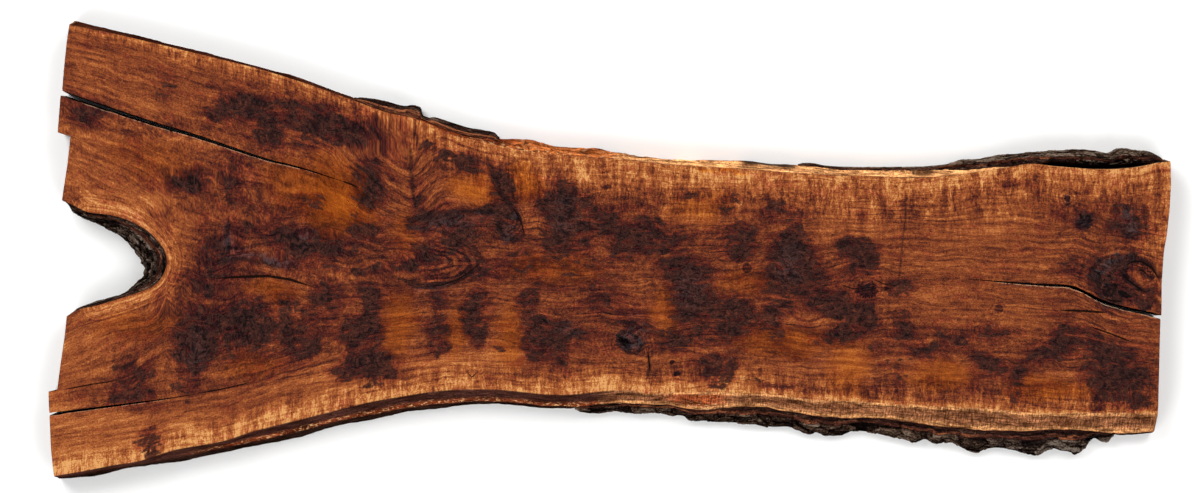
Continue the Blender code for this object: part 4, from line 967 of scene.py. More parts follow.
def wood_piece(material):
    """The slab: a top face and an underside on one lattice, half as fine below, and a wall of rings
    between their borders. The last ring meets the coarser underside two points to one."""
    numbers, count = face_numbers(JOINED, 1)
    low_numbers, low_count = face_numbers(JOINED, 2)
    loop, low_loop = border_loop(numbers, TIPS, 1), border_loop(low_numbers, TIPS, 2)
    kind, size = border_kinds(TIPS), len(loop)
    levels = [flat_list(face_points(BAND_GUIDES, level, 1), numbers, count) for level in range(5)]
    top, under = levels[0], flat_list(face_points(BAND_GUIDES, 4, 2), low_numbers, low_count)
    rings = wall_rings([level[loop] for level in levels], kind)

    def all_points(on_top, on_wall, below):
        """Values of the face, of the wall ring by ring and of the underside as one list."""
        return np.concatenate([on_top, *[on_wall] * len(rings), below])

    sheet = np.concatenate([top, *rings, under])
    depth = np.concatenate([np.zeros(count), np.repeat(RINGS[1:], size), np.full(low_count, THICKNESS)])
    height = THICKNESS - depth
    height[:count] = top_height(*top.T)
    under_start = count + size * len(rings)
    low_loop = low_loop + under_start
    next_low = np.roll(low_loop, -1)
    ring_numbers = [loop, *np.arange(count, under_start).reshape(-1, size)]
    even, odd = ring_numbers[-1][::2], ring_numbers[-1][1::2]
    faces = [lattice_quads(number) for number in numbers]
    for above, below in zip(ring_numbers[:-1], ring_numbers[1:]):
        faces.append(np.stack([above, below, np.roll(below, -1), np.roll(above, -1)], -1))
    for corners in ((even, low_loop, odd), (odd, low_loop, next_low), (odd, next_low, np.roll(even, -1))):
        faces.append(np.stack(corners, -1))
    faces += [lattice_quads(number)[:, ::-1] + under_start for number in low_numbers]

    across = flat_list(across_values(1), numbers, count)
    attributes = wood_attributes(
        all_points(top, top[loop], under), depth,
        all_points(across, across[loop], flat_list(across_values(2), low_numbers, low_count)),
        all_points(np.full(count, FACE), kind, np.full(low_count, FACE)),
        all_points(flat_list(arris_highlight_values(), numbers, count), np.zeros(size), np.zeros(low_count)),
    )
    points = np.column_stack([to_row(sheet), height])
    return surface("figured_wood", points, faces, material, attributes)


def across_values(step):
    """The coordinate across the grain, in sheet units from the lower edge, on each band's lattice."""
    starts = np.cumsum([0, *BAND_WIDTHS])
    return [
        np.tile((start + width * np.arange(rows + 1) / rows)[::step, None], COLUMNS // step + 1)
        for start, width, rows in zip(starts, BAND_WIDTHS, BAND_ROWS)
    ]


def arris_highlight_values():
    """Share of painted highlight on each point of the top, where light catches a crack's arris: 1 on
    the lower side of the right crack, less on the two left ones and where a crack closes at its tip,
    and 0 elsewhere."""
    column = np.arange(COLUMNS + 1)
    lower, right, upper = (np.zeros((rows + 1, COLUMNS + 1)) for rows in BAND_ROWS[:3])
    upper[-1] = 0.8 * (1 - ease(column, TIPS["upper"] - 12, TIPS["upper"] + 1)) * ease(column, 2, 10)
    right[-1] = ease(column, TIPS["pith"] + 1, TIPS["pith"] + 14)
    lower[-1] = (1 - ease(column, TIPS["lower"] - 12, TIPS["lower"] + 1)) * 0.8
    return [lower, right, upper, np.zeros((BAND_ROWS[3] + 1, COLUMNS + 1))]


def top_height(x, y):
    """Height of the top face: flat, sunk in the knots' pits with a rough floor."""
    height = np.full(np.shape(x), THICKNESS)
    for *oval, depth in PITS:
        away, _, _ = oval_way(x, y, oval)
        height = height - depth * (1 - ease(away + 0.22 * layered(x / 4, y / 4, 401, 2), 0.25, 1.0))
    return height


def border_at(points, x):
    """y of a long edge's border at each x, level beyond the edge's ends."""
    return line_at(points, np.clip(x, points[0][0], points[-1][0]))[:, 1]


def wood_attributes(sheet, depth, across, kind, arris_highlight):
    """What the wood's material reads at each point: the grain's coordinates in metres, lightness,
    dark figure and sapwood, how orange, rippled and near the bay it is, the knots with their painted
    sheen, the hairlines with the painted highlight on the cracks' arrises, and what part it is on."""
    x, y = sheet.T
    away, heart, push = knot_fields(x, y)
    phase, turning = ring_fields(x, y)
    shade = shade_field(x, y, 521, 5.0)
    shade = shade + 0.15 * (1 - ease(shade, 0.20, 0.52))
    lively = ease(0.62 - shade, 0.0, 0.22)
    wander = 2.4 * layered(x / 130, y / 60, 501, 2) + (0.5 + 3.6 * lively) * layered(x / 44, y / 30, 507, 2)
    chevron = 26 * between(x, 310, 408, 408, 450) * between(y, 105, 165, 195, 255)
    squeezed = depth * np.where(kind == UPPER_EDGE, 0.45, 1.0)
    grain = np.column_stack([x * UNIT, (across + push + wander + chevron) * UNIT, squeezed])

    to_upper, to_lower = y - border_at(UPPER_TOP, x), border_at(LOWER_TOP, x) - y
    edge_wave = 1 + 0.35 * layered(x / 60, y / 60, 561, 3)
    bay = np.min([np.hypot(x - px, y - py) for px, py in line_points(BAY_WOOD[2:17], 1.5)], axis=0)
    upper_sap = 1 - ease(to_upper / (np.interp(x, *UPPER_SAP) * edge_wave), 0.1, 1.0)
    sap = np.maximum.reduce([
        np.interp(x, *UPPER_SAP_STRENGTH) * upper_sap,
        1 - ease(to_lower / (np.interp(x, *LOWER_SAP) * edge_wave), 0.1, 1.0),
        1.1 * (1 - ease(bay / (27 * edge_wave), 0.3, 1.0)) * ease(x, 50, 100),
        0.45 * ease(x, 1120, 1168) * (1 - ease(y, 230, 330)),
    ])
    near_edge = np.minimum(to_upper / np.interp(x, *UPPER_RIPPLES), to_lower / np.interp(x, *LOWER_RIPPLES))
    right_end = 0.8 * ease(x, 1110, 1160) * (1 - ease(y, 250, 300))
    ripple = np.maximum(1 - ease(near_edge, 0.25, 1.1), right_end)

    check, check_half = line_fields(x, y, CHECKS)
    vein, vein_half = line_fields(x + layered(x / 9, y / 9, 641, 2), y + layered(x / 9, y / 9, 651, 2), VEINS)
    wall = kind != FACE
    side = np.isin(kind, (LOWER_EDGE, UPPER_EDGE, BAY)) * ease(depth, 0.0001, 0.0009)
    end = (kind == SAWN_END) * ease(depth, 0.0002, 0.0015)
    crack = (kind == CRACK) * ease(depth, 0.0005, 0.005)
    skin, skin_ticks, flecks = skin_colour(kind, x, depth)
    groups = {
        "tones": (shade, blobs(x, y, FIGURE, 571, 8.0), sap),
        "style": (blobs(x, y, GLOW, 541, 7.0), ripple, np.minimum(bay, 60) * UNIT),
        "knots": (np.where(wall, FAR, away), heart, blobs(x, y, PAINTED_SHEEN, 631, 2.0)),
        "turns": (phase, turning, skin_ticks),
        "veins": (vein * UNIT, np.where(wall, -1.0, vein_half * UNIT), flecks),
        "checks": (np.where(wall & (kind != SAWN_END), FAR, check) * UNIT, check_half * UNIT, arris_highlight),
        "parts": (side, end, crack),
    }
    columns = {name: np.column_stack(values) for name, values in groups.items()}
    return {"grain": grain, "skin": skin, **columns}


def line_points(points, spacing):
    """Points along a line, evenly spaced."""
    points = np.array(points, float)
    run = run_of(points)
    at = np.arange(0, run[-1], spacing)
    return np.column_stack([np.interp(at, run, points[:, 0]), np.interp(at, run, points[:, 1])])


# Colours of the wood's ramps by lightness, and its single dark and pale ones
WALNUT_TONES = [
    (0.00, (0.0050, 0.0030, 0.0035)), (0.20, (0.0275, 0.0084, 0.0078)), (0.40, (0.0830, 0.0192, 0.0102)),
    (0.60, (0.1980, 0.0490, 0.0160)), (0.80, (0.3650, 0.1110, 0.0300)), (1.00, (0.5900, 0.2880, 0.0980)),
]
CHARCOAL_TONES = [
    (0.02, (0.0050, 0.0036, 0.0036)), (0.20, (0.0200, 0.0098, 0.0090)), (0.36, (0.0500, 0.0175, 0.0125)),
    (0.60, (0.1600, 0.0420, 0.0180)),
]
END_TONES = [
    (0.10, (0.022, 0.0085, 0.0050)), (0.45, (0.085, 0.0300, 0.0130)), (0.80, (0.250, 0.1100, 0.0480)),
    (1.00, (0.420, 0.2300, 0.1150)),
]
# Bluish grey of the painted sheen, a highlight laid into the colour
PAINTED_SHEEN_GREY = (0.056, 0.048, 0.053)
# Pale colour of the painted highlight on the cracks' arrises
PAINTED_ARRIS_HIGHLIGHT = (0.52, 0.32, 0.20)
CHECK_BLACK = (0.004, 0.0025, 0.002)
# Near black painted on the cracks' walls for the shade inside them
CRACK_SHADE_BLACK = (0.012, 0.006, 0.004)
SKIN_GAP = (0.026, 0.0090, 0.0060)
PALE_FLECK = (0.66, 0.36, 0.16)

# The same for the bark, and for the inner bark on its broken lip
BARK_TONES = [
    (0.08, (0.0035, 0.0024, 0.0022)), (0.34, (0.0150, 0.0083, 0.0064)), (0.58, (0.0580, 0.0315, 0.0210)),
    (0.82, (0.1400, 0.0880, 0.0590)), (1.00, (0.2400, 0.1750, 0.1300)),
]
INNER_BARK_TONES = [
    (0.36, (0.010, 0.0042, 0.0038)), (0.50, (0.042, 0.0150, 0.0110)), (0.60, (0.120, 0.0380, 0.0210)),
    (0.72, (0.360, 0.1200, 0.0480)),
]


class Wiring:
    """Adds nodes to one material, with a short call for each kind."""

    def __init__(self, name):
        self.material = bpy.data.materials.new(name)
        self.material.use_nodes = True
        self.tree = self.material.node_tree
        self.shader = self.tree.nodes["Principled BSDF"]

    def put(self, socket, value):
        """Links a socket to another, or sets its constant."""
        if isinstance(value, bpy.types.NodeSocket):
            self.tree.links.new(value, socket)
        else:
            socket.default_value = value

    def finish(self, sockets):
        """Sets the shader's sockets by name, and returns the material."""
        for name, value in sockets.items():
            self.put(self.shader.inputs[name], value)
        return self.material

    def node(self, kind, inputs=(), **settings):
        """A node with its settings and its inputs, in order or by name."""
        made = self.tree.nodes.new(kind)
        for key, value in settings.items():
            setattr(made, key, value)
        pairs = inputs.items() if isinstance(inputs, dict) else enumerate(inputs)
        for key, value in pairs:
            self.put(made.inputs[key], value)
        return made

    def math(self, operation, *values):
        """One sum, product or other operation on numbers."""
        return self.node("ShaderNodeMath", values, operation=operation).outputs[0]

    def centred(self, value):
        """A noise about zero."""
        return self.math("SUBTRACT", value, 0.5)

    def product(self, first, second):
        """One number times another."""
        return self.math("MULTIPLY", first, second)

    def total(self, *terms):
        """Sum of products, each given as (value, weight)."""
        result = 0.0
        for value, weight in terms:
            result = self.math("MULTIPLY_ADD", value, weight, result)
        return result

    def vector(self, operation, a, b):
        """One operation on two vectors."""
        return self.node("ShaderNodeVectorMath", (a, b), operation=operation).outputs[0]

    def attribute(self, name):
        """A vector attribute."""
        return self.node("ShaderNodeAttribute", attribute_name=name).outputs["Vector"]

    def parts(self, name):
        """The three numbers of a vector attribute."""
        return self.node("ShaderNodeSeparateXYZ", (self.attribute(name),)).outputs

    def joined(self, *numbers):
        """A vector of three numbers."""
        return self.node("ShaderNodeCombineXYZ", numbers).outputs[0]

    def noise(self, vector, scale, detail=4.0, roughness=0.55, distortion=0.0):
        """Noise between 0 and 1, its coordinates stretched by scale along each axis."""
        return self.node("ShaderNodeTexNoise", {
            "Vector": self.vector("MULTIPLY", vector, scale), "Scale": 1.0, "Detail": detail,
            "Roughness": roughness, "Distortion": distortion,
        }).outputs["Fac"]

    def step(self, value, low, high):
        """0 below low, 1 above high, and an even S between; reversed where high is below low."""
        start, end = (1.0, 0.0) if high < low else (0.0, 1.0)
        return self.node("ShaderNodeMapRange", {
            "Value": value, "From Min": min(low, high), "From Max": max(low, high), "To Min": start,
            "To Max": end,
        }, interpolation_type="SMOOTHSTEP").outputs["Result"]

    def near_line(self, distance, half_width, outside, inside):
        """1 on a line and 0 off it, from its signed distance and half width, with a soft border from
        outside to inside."""
        off = self.math("SUBTRACT", self.math("ABSOLUTE", distance), half_width)
        return self.step(off, outside, inside)

    def ramp(self, value, stops):
        """Colours by a number: stops are (place, colour)."""
        made = self.node("ShaderNodeValToRGB", (value,))
        bar = made.color_ramp
        bar.elements[0].position, bar.elements[-1].position = stops[0][0], stops[-1][0]
        for place, _ in stops[1:-1]:
            bar.elements.new(place)
        for element, (_, colour) in zip(bar.elements, stops):
            element.color = (*colour, 1.0)
        return made.outputs["Color"]

    def mix(self, share, first, second, kind="MIX"):
        """One colour over another by a share."""
        made = self.node("ShaderNodeMix", data_type="RGBA", blend_type=kind)
        for name, value in (("Factor_Float", share), ("A_Color", first), ("B_Color", second)):
            socket = next(s for s in made.inputs if s.identifier == name)
            self.put(socket, (*value, 1.0) if isinstance(value, tuple) else value)
        return next(s for s in made.outputs if s.identifier == "Result_Color")

    def tinted(self, colour, tint):
        """A colour times another."""
        return self.mix(1.0, colour, tint, "MULTIPLY")

    def mottled(self, colour, value, low, high):
        """A colour darkened and a little reddened where the noise is below 0.36, and lightened above
        0.62."""
        dark, light = (low, 0.87 * low, 0.84 * low), (high, high, high)
        return self.tinted(colour, self.ramp(value, [(0.36, dark), (0.62, light)]))

    def bump(self, height, distance):
        """A normal from a height between 0 and 1 that stands for a distance."""
        made = self.node("ShaderNodeBump", {"Strength": 1.0, "Distance": distance, "Height": height})
        return made.outputs["Normal"]


def wood_material():
    """Oiled figured walnut. One number, the lightness of the grain, runs through a ramp from near
    black to pale tan. Hairs, streaks, growth rings, ripples, curly threads, dark figure and sapwood
    push it up or down, and a red veil and an orange glow change its colour."""
    w = Wiring("oiled_walnut")
    centred, product, step, total = w.centred, w.product, w.step, w.total
    grain = w.attribute("grain")
    shade, ink, sap = w.parts("tones")
    glow, rippled, bay = w.parts("style")
    knot_away, heart, painted_sheen = w.parts("knots")
    ring_turn, ring_strength, ticked = w.parts("turns")
    vein_distance, vein_half, flecked = w.parts("veins")
    check_distance, check_half, arris_highlight = w.parts("checks")
    side, end, crack = w.parts("parts")

    # Noises along the grain, from hairs to clouds
    fibre = w.noise(grain, (20, 430, 430), 3, 0.60)
    streak = w.noise(grain, (5, 95, 95), 5, 0.62, 0.15)
    comb = w.noise(grain, (26, 190, 190), 3, 0.60, 0.3)
    feather = w.noise(grain, (24, 120, 120), 5, 0.66, 0.8)
    cloud = w.noise(grain, (15, 30, 30), 3, 0.60, 0.5)
    blotch = w.noise(grain, (58, 74, 74), 5, 0.66, 0.6)
    lobes = w.noise(grain, (52, 64, 64), 2, 0.50, 0.9)
    curl = w.noise(grain, (92, 125, 125), 4, 0.64, 1.3)
    ripple = w.noise(grain, (52, 11, 11), 4, 0.60, 0.7)
    ticks = w.noise(grain, (210, 62, 62), 4, 0.62, 1.1)
    pores = w.noise(grain, (170, 700, 700), 1, 0.5)
    fine = w.noise(grain, (400, 560, 560), 2, 0.6)
    wobble = w.noise(grain, (4, 13, 13), 3, 0.50)
    ringed = w.noise(grain, (5, 20, 20), 2, 0.50)

    # How stained and how veiled the wood is, with ragged borders
    broken = total(
        (centred(lobes), 1.8), (centred(cloud), 1.2), (centred(curl), 1.1), (centred(comb), 1.2),
        (centred(blotch), 0.8), (centred(feather), 1.9),
    )
    reach = total((ink, 0.84), (product(broken, total((step(ink, 0.0, 0.5), 0.78), (1.0, 0.22))), 1.0))
    stain = step(reach, 0.37, 0.60)
    veil = step(total(
        (shade, -1.6), (ink, 0.75), (centred(cloud), 2.0), (centred(blotch), 2.0), (centred(comb), 1.4),
        (1.0, 0.90),
    ), 0.14, 0.52)

    # Hairs, threads and growth rings, which the glow calms
    dark_hair, light_hair = step(fibre, 0.56, 0.72), step(fibre, 0.42, 0.28)
    thread = step(w.math("ABSOLUTE", centred(curl)), 0.045, 0.0)
    across = w.node("ShaderNodeSeparateXYZ", (grain,)).outputs["Y"]
    ring_phase = w.math("MULTIPLY_ADD", across, 560.0, product(wobble, 36.0))
    ring_shown = product(step(streak, 0.34, 0.58), step(ringed, 0.46, 0.60))
    ring_line = product(step(w.math("SINE", ring_phase), 0.30, 1.0), ring_shown)
    curly = total((centred(curl), 1.0), (centred(blotch), 0.75))
    grained = total(
        (dark_hair, -0.16), (light_hair, 0.10),
        (product(centred(streak), total((rippled, -0.35), (1.0, 0.80))), 1.0),
        (product(curly, total((step(shade, 0.60, 0.40), 0.55), (1.0, 0.32))), 1.0),
        (centred(comb), 0.62), (centred(fine), 0.70), (ring_line, -0.18), (1.0, 0.040),
    )

    # Rings round the bay and the knots, and the soft dark veins
    around_bay = w.joined(bay, product(blotch, 0.004), 0.0)
    bay_rings = product(centred(w.noise(around_bay, (260, 1, 1), 2, 0.6)), step(bay, 0.046, 0.012))
    ring_wave = step(w.math("SINE", w.math("MULTIPLY_ADD", centred(blotch), 7.0, ring_turn)), -0.5, 0.9)
    knot_edge = step(w.math("MULTIPLY_ADD", centred(curl), 1.1, knot_away), 1.15, 0.85)
    vein = w.near_line(vein_distance, vein_half, 0.0024, -0.0020)
    vein = product(vein, step(total((curl, 0.5), (comb, 0.5)), 0.36, 0.50))
    marks = total(
        (product(centred(ring_wave), ring_strength), -0.15), (product(knot_edge, heart), -0.42),
        (step(pores, 0.62, 0.72), -0.11), (vein, -0.10),
    )

    # Lightness of the plain wood and of the stained wood
    light = total(
        (shade, 1.0), (product(grained, total((glow, -0.42), (1.0, 1.0))), 1.0), (veil, -0.11),
        (1.0, 0.015), (sap, 0.22),
        (product(centred(ripple), total((rippled, 1.0), (1.0, 0.12))), 0.85),
        (product(centred(ticks), total((rippled, 1.0), (1.0, 0.15))), 1.0),
        (bay_rings, 1.1), (marks, 1.0),
    )
    inked = total(
        (centred(curl), 1.10), (centred(blotch), 0.55), (thread, 0.08), (centred(fine), 0.60),
        (light_hair, 0.08), (dark_hair, -0.06), (1.0, 0.19), (marks, 1.0),
    )

    # Colour of the face, from the plain wood up to the painted highlight on the arrises and the hairline
    # checks
    colour = w.ramp(light, WALNUT_TONES)
    colour = w.mix(glow, colour, w.tinted(colour, (1.16, 0.98, 0.34)))
    colour = w.mix(product(veil, 0.70), colour, w.tinted(colour, (0.96, 0.74, 0.95)))
    stained = product(w.math("MAXIMUM", stain, product(vein, 0.7)), 0.88)
    colour = w.mix(stained, colour, w.ramp(inked, CHARCOAL_TONES))
    # Painted sheen: a bluish-grey highlight on the dark figure, where the curly threads run
    painted_sheen_share = product(painted_sheen, step(total((curl, 0.6), (comb, 0.5), (fine, 0.25)), 0.64, 0.78))
    colour = w.mix(product(painted_sheen_share, 0.65), colour, PAINTED_SHEEN_GREY)
    # Painted highlight: a pale line on the arris along the lower side of the cracks
    painted_arris_share = product(step(arris_highlight, 0.52, 0.92), step(curl, 0.40, 0.54))
    colour = w.mix(product(painted_arris_share, 0.75), colour, PAINTED_ARRIS_HIGHLIGHT)
    check = w.near_line(check_distance, check_half, 0.0004, -0.0004)
    colour = w.mix(product(check, 0.95), colour, CHECK_BLACK)

    # The live edges, the sawn ends, and the cracks' walls painted near black for the shade in them
    skin_grain = w.noise(grain, (30, 60, 210), 5, 0.68, 0.8)
    colour = w.mix(side, colour, skin_look(w, grain, skin_grain, fine, ticked, flecked))
    colour = w.mix(end, colour, end_look(w, grain, fine, sap))
    # Painted shade: the cracks' walls are near black
    colour = w.mix(product(crack, 0.9), colour, CRACK_SHADE_BLACK)
    height = total((fibre, 0.25), (curl, 0.30), (product(skin_grain, side), 2.2), (check, -0.8))
    return w.finish({
        "Base Color": colour,
        "Roughness": total((curl, 0.10), (stain, -0.05), (side, 0.50), (end, 0.40), (1.0, 0.36)),
        "Specular IOR Level": 0.0,
        "Coat Weight": total((side, -0.08), (end, -0.08), (1.0, 0.08)),
        "Coat Roughness": 0.25,
        "Normal": w.bump(height, 0.0007),
    })


def skin_look(w, grain, skin_grain, fine, ticked, flecked):
    """Colour of the live edges: the skin's own, mottled by noises of three sizes, ticked on the tan
    part, with dark creases and gaps and with pale flecks."""
    product, step = w.product, w.step
    cloud = w.noise(grain, (16, 30, 40), 4, 0.62, 0.4)
    tick = w.noise(grain, (420, 60, 90), 3, 0.62)
    mottle = w.noise(grain, (95, 95, 170), 4, 0.62, 0.6)
    crease = w.noise(grain, (24, 70, 420), 4, 0.62, 0.9)
    fleck = w.noise(grain, (130, 130, 260), 3, 0.6, 0.5)
    colour = w.attribute("skin")
    for noise, low, high in ((skin_grain, 0.30, 1.8), (cloud, 0.50, 1.35), (fine, 0.66, 1.40)):
        colour = w.mottled(colour, noise, low, high)
    colour = w.mix(ticked, colour, w.mottled(colour, tick, 0.34, 1.25))
    gaps = w.math("MAXIMUM", step(mottle, 0.43, 0.36), product(step(crease, 0.47, 0.38), 0.9))
    gaps = product(gaps, w.total((ticked, -0.5), (1.0, 1.0)))
    colour = w.mix(product(gaps, 0.85), colour, SKIN_GAP)
    return w.mix(product(step(fleck, 0.55, 0.62), flecked), colour, PALE_FLECK)


def end_look(w, grain, fine, sap):
    """Colour of the sawn ends: growth rings across the end, clouds and open pores."""
    rings = w.noise(grain, (0, 150, 60), 3, 0.55, 0.6)
    cloud = w.noise(grain, (0, 22, 30), 4, 0.60, 0.6)
    fibres = w.noise(grain, (0, 1100, 1100), 2, 0.5)
    return w.ramp(w.total(
        (w.centred(rings), 1.1), (w.centred(cloud), 1.5), (w.centred(fibres), 0.6), (w.centred(fine), 0.5),
        (sap, 0.26), (1.0, 0.40),
    ), END_TONES)


# How far the bark stands out down its outside, as a share of its full reach
BARK_LEVELS = (0.0, 0.16, 0.42, 0.68, 0.88, 1.0)
BARK_REACH = (0.0, 0.45, 0.80, 1.0, 0.96, 0.78)

# Rows of points on the bark's outside, its broken lip and its inside, and the stations' spacing on
# the sheet
BARK_ROWS = 46
LIP_ROWS = 9
INNER_ROWS = 5
BARK_STEP = 1.0

# In metres: the thinnest bark, also past the hollow, how far it tapers at its two ends, the reach at
# which its relief is full, how ragged its lip is, how far the lip falls outwards and sinks towards
# the hollow, and how near to the face it may come
THIN_BARK = 0.0018
THIN_ROLL = 0.0009
BARK_TAPER = 0.010
FULL_BARK = 0.011
RAGGED_LIP = 0.0030
LIP_FALL = 0.0016
LIP_SINK = 0.010
BELOW_FACE = 0.001


def plates(u, v, seed):
    """Uneven cells, one for each whole square, each round a middle set by the seed. Returns how much
    nearer a point is to its own middle than to the next one, and the cell's height and tilt there."""
    table = np.random.default_rng(seed).uniform(0, 1, (64, 64, 5))
    i, j = np.floor(u).astype(int), np.floor(v).astype(int)
    best, second = np.full(np.shape(u), 9.0), np.full(np.shape(u), 9.0)
    height = np.zeros(np.shape(u))
    for di in (-1, 0, 1):
        for dj in (-1, 0, 1):
            own = table[(i + di) % 64, (j + dj) % 64]
            off_u = u - (i + di + 0.12 + 0.76 * own[..., 0])
            off_v = v - (j + dj + 0.12 + 0.76 * own[..., 1])
            distance = np.hypot(off_u, off_v)
            closer = distance < best
            second = np.where(closer, best, np.minimum(second, distance))
            best = np.where(closer, distance, best)
            tilted = own[..., 2] + 1.1 * (own[..., 3] - 0.5) * off_u + 1.1 * (own[..., 4] - 0.5) * off_v
            height = np.where(closer, tilted, height)
    return second - best, height


def bark_relief(run, way, seed, fineness):
    """Bark's outside, between about -1 and 1, by the way along it and down its section: plates at
    unlike heights, each tilted its own way, with sharp crevices between them; smaller scales on the
    plates; and a crumbly grain on all of it."""
    u = run * fineness + 0.0080 * layered(run / 0.03, way / 0.02, seed + 3, 4)
    v = way * fineness + 0.0045 * layered(run / 0.05, way / 0.03, seed + 6, 4)
    gap, height = plates(u / 0.034, v / 0.0120, seed)
    small_gap, small_height = plates(u / 0.0130, v / 0.0046, seed + 20)
    crumble = layered(run / 0.0055, way / 0.004, seed + 40, 3)
    plate = 1.15 * (height - 0.45) - 0.70 * (1 - ease(gap, 0.01, 0.13))
    scale = 0.50 * (small_height - 0.5) - 0.30 * (1 - ease(small_gap, 0.01, 0.16))
    return plate + scale + 0.22 * crumble


def bark_piece(name, levels, outer, top, shape, tones, material, hollow=0.0, lumps=0.3):
    """One patch: closed sections along its stations. Each runs from the wood's wall out over the broken
    lip, down the plated outside, and back up a touch away from the wall. top is the depth of the lip
    at each station. shape is how far the lip stands out as a share, the height of the relief in
    metres, its seed and its fineness. hollow is the share of an open gap behind the bark's upper part,
    and lumps is how rough the lip is."""
    lip_stand, size, seed, fineness = shape
    red, pale, ash = tones
    normal = line_normals(levels[3])
    depths = np.append(LEVELS[:-1], THICKNESS - BARK_CLEAR)
    kept = 1 - BARK_CLEAR / (THICKNESS - LEVELS[3])
    wall = np.stack([*levels[:-1], levels[-2] + (levels[-1] - levels[-2]) * kept])
    stations = np.arange(wall.shape[1])
    run = run_of(outer) * UNIT
    bottom = depths[-1]
    thickness = np.maximum(np.sum((outer - levels[3]) * normal, axis=1), THIN_BARK / UNIT)
    taper = ease(np.minimum(run, run[-1] - run), 0.0, BARK_TAPER)
    amount = size / UNIT * np.clip(thickness * UNIT / FULL_BARK, 0.15, 1.1)
    ragged = np.abs(RAGGED_LIP * layered(run / 0.018, np.zeros_like(run), seed + 60, 4)) * taper
    rows = []

    def gap_at(level):
        """Width of the hollow behind the bark at each station's depth."""
        width = hollow * HOLLOW_WIDTH * np.clip(2.2 * (1 - level / HOLLOW_DEPTH), 0, 1)
        return np.broadcast_to(width, len(stations))

    def add_row(level, out, depth, crest_and_shade, inner_bark, way):
        """One row of points: out from the wood's wall at a level, moved to a depth, with what the
        material reads there."""
        k = np.clip(np.searchsorted(depths, level) - 1, 0, len(depths) - 2)
        share = ((level - depths[k]) / (depths[k + 1] - depths[k]))[:, None]
        line = wall[k, stations] * (1 - share) + wall[k + 1, stations] * share
        place = to_row(line + normal * (TOUCH_GAP / UNIT) + normal * out[:, None])
        each = np.broadcast_arrays(*place.T, THICKNESS - depth, crest_and_shade, red + inner_bark, way)
        rows.append(np.column_stack(each))

    def body_at(level, stand):
        """How far the outside stands from the wall at one depth, its relief, and the way down to it."""
        way = 0.8 * (level - top) + 0.9 * thickness * stand * UNIT
        relief = bark_relief(run, way, seed, fineness)
        body = thickness * stand * (0.30 + 0.70 * taper) + 0.45 * np.maximum(relief, -0.3) * amount
        return np.maximum(body, gap_at(level) + np.maximum(THIN_ROLL / UNIT, 0.30 * amount)), relief, way

    rim, inner = body_at(top, lip_stand)[0], gap_at(top)
    for share in np.linspace(0, 1, LIP_ROWS)[:-1]:
        way = 0.9 * thickness * lip_stand * UNIT * share
        relief = bark_relief(run, way, seed, fineness * (1 + 0.5 * lumps))
        rise = lumps * amount * UNIT * (0.9 * relief - 0.5) * ease(share, 0.0, 0.2) * taper
        sunk = LIP_SINK * hollow * (1 - share) ** 1.5
        depth = np.maximum(top + ragged + LIP_FALL * share ** 2 + sunk - rise, BELOW_FACE)
        # Painted shade: the lip darkens next to the wall, and more so over the hollow
        crest_and_shade = relief * (lumps * (1 - share) + share) - (0.3 * hollow + 0.1) * (1 - share)
        inner_bark = (0.55 - 0.25 * share) * (1 - 0.7 * ease(lumps, 0.7, 1.2)) + 0.5 * ease(share, 0.58, 0.80)
        add_row(top, inner + (rim - inner) * share, depth, 1.3 * crest_and_shade, inner_bark, way)
    # Down the outside the relief also sets the colour: dark in the crevices, partly the bark's own colour and
    # partly painted shade
    for share in np.linspace(0, 1, BARK_ROWS):
        level = top + (bottom - top) * share
        stand = smooth(BARK_LEVELS, BARK_REACH, share)
        body, relief, way = body_at(level, lip_stand + (1 - lip_stand) * stand if share < 0.5 else stand)
        lumpy = np.maximum(lumps, ease(share, 0.0, 0.2)) * (1 - ease(share, 0.6, 1.0))
        lift = 0.9 * relief * amount * UNIT * lumpy * taper
        depth = np.maximum(level + (ragged + LIP_FALL) * (1 - ease(share, 0.0, 0.15)) - lift, BELOW_FACE)
        add_row(level, body, depth, relief, 0.8 * (1 - ease(share, 0.02, 0.11)), way)
    for share in np.linspace(1, 0, INNER_ROWS + 1)[:-1]:
        level = top + (bottom - top) * share
        # The bark's inside, facing the wall, is painted near black for the shade behind the bark
        add_row(level, gap_at(level), level, -0.8, 0.0, level)

    table = np.concatenate(rows)
    points, (crest_and_shade, redness, way) = table[:, :3], table[:, 3:].T
    number = np.arange(len(points)).reshape(len(rows), len(stations))
    ring = np.concatenate([number, number[:1]])
    faces = [lattice_quads(ring), number[::-1, 0][None], number[:, -1][None]]
    pale, ash, along = (np.tile(values, len(rows)) for values in (pale, ash, run))
    piece = surface(name, points, faces, material, {
        "bark": np.column_stack([crest_and_shade, redness, ash]), "place": np.column_stack([along, way, pale]),
    })
    turn_out(piece.data)
    return piece


def line_normals(line):
    """Unit normals of an open line on the sheet, on its left going along it as seen from above."""
    along = np.gradient(line, axis=0)
    normal = np.column_stack([along[:, 1], -along[:, 0]])
    return normal / np.linalg.norm(normal, axis=1, keepdims=True)


def turn_out(mesh):
    """Turns a closed mesh's faces to point outwards, by the sign of the volume they enclose."""
    mesh.calc_loop_triangles()
    place = np.empty(3 * len(mesh.vertices))
    corners = np.empty(3 * len(mesh.loop_triangles), int)
    mesh.vertices.foreach_get("co", place)
    mesh.loop_triangles.foreach_get("vertices", corners)
    a, b, c = place.reshape(-1, 3)[corners].reshape(-1, 3, 3).transpose(1, 0, 2)
    if np.sum(a * np.cross(b, c)) < 0:
        mesh.flip_normals()


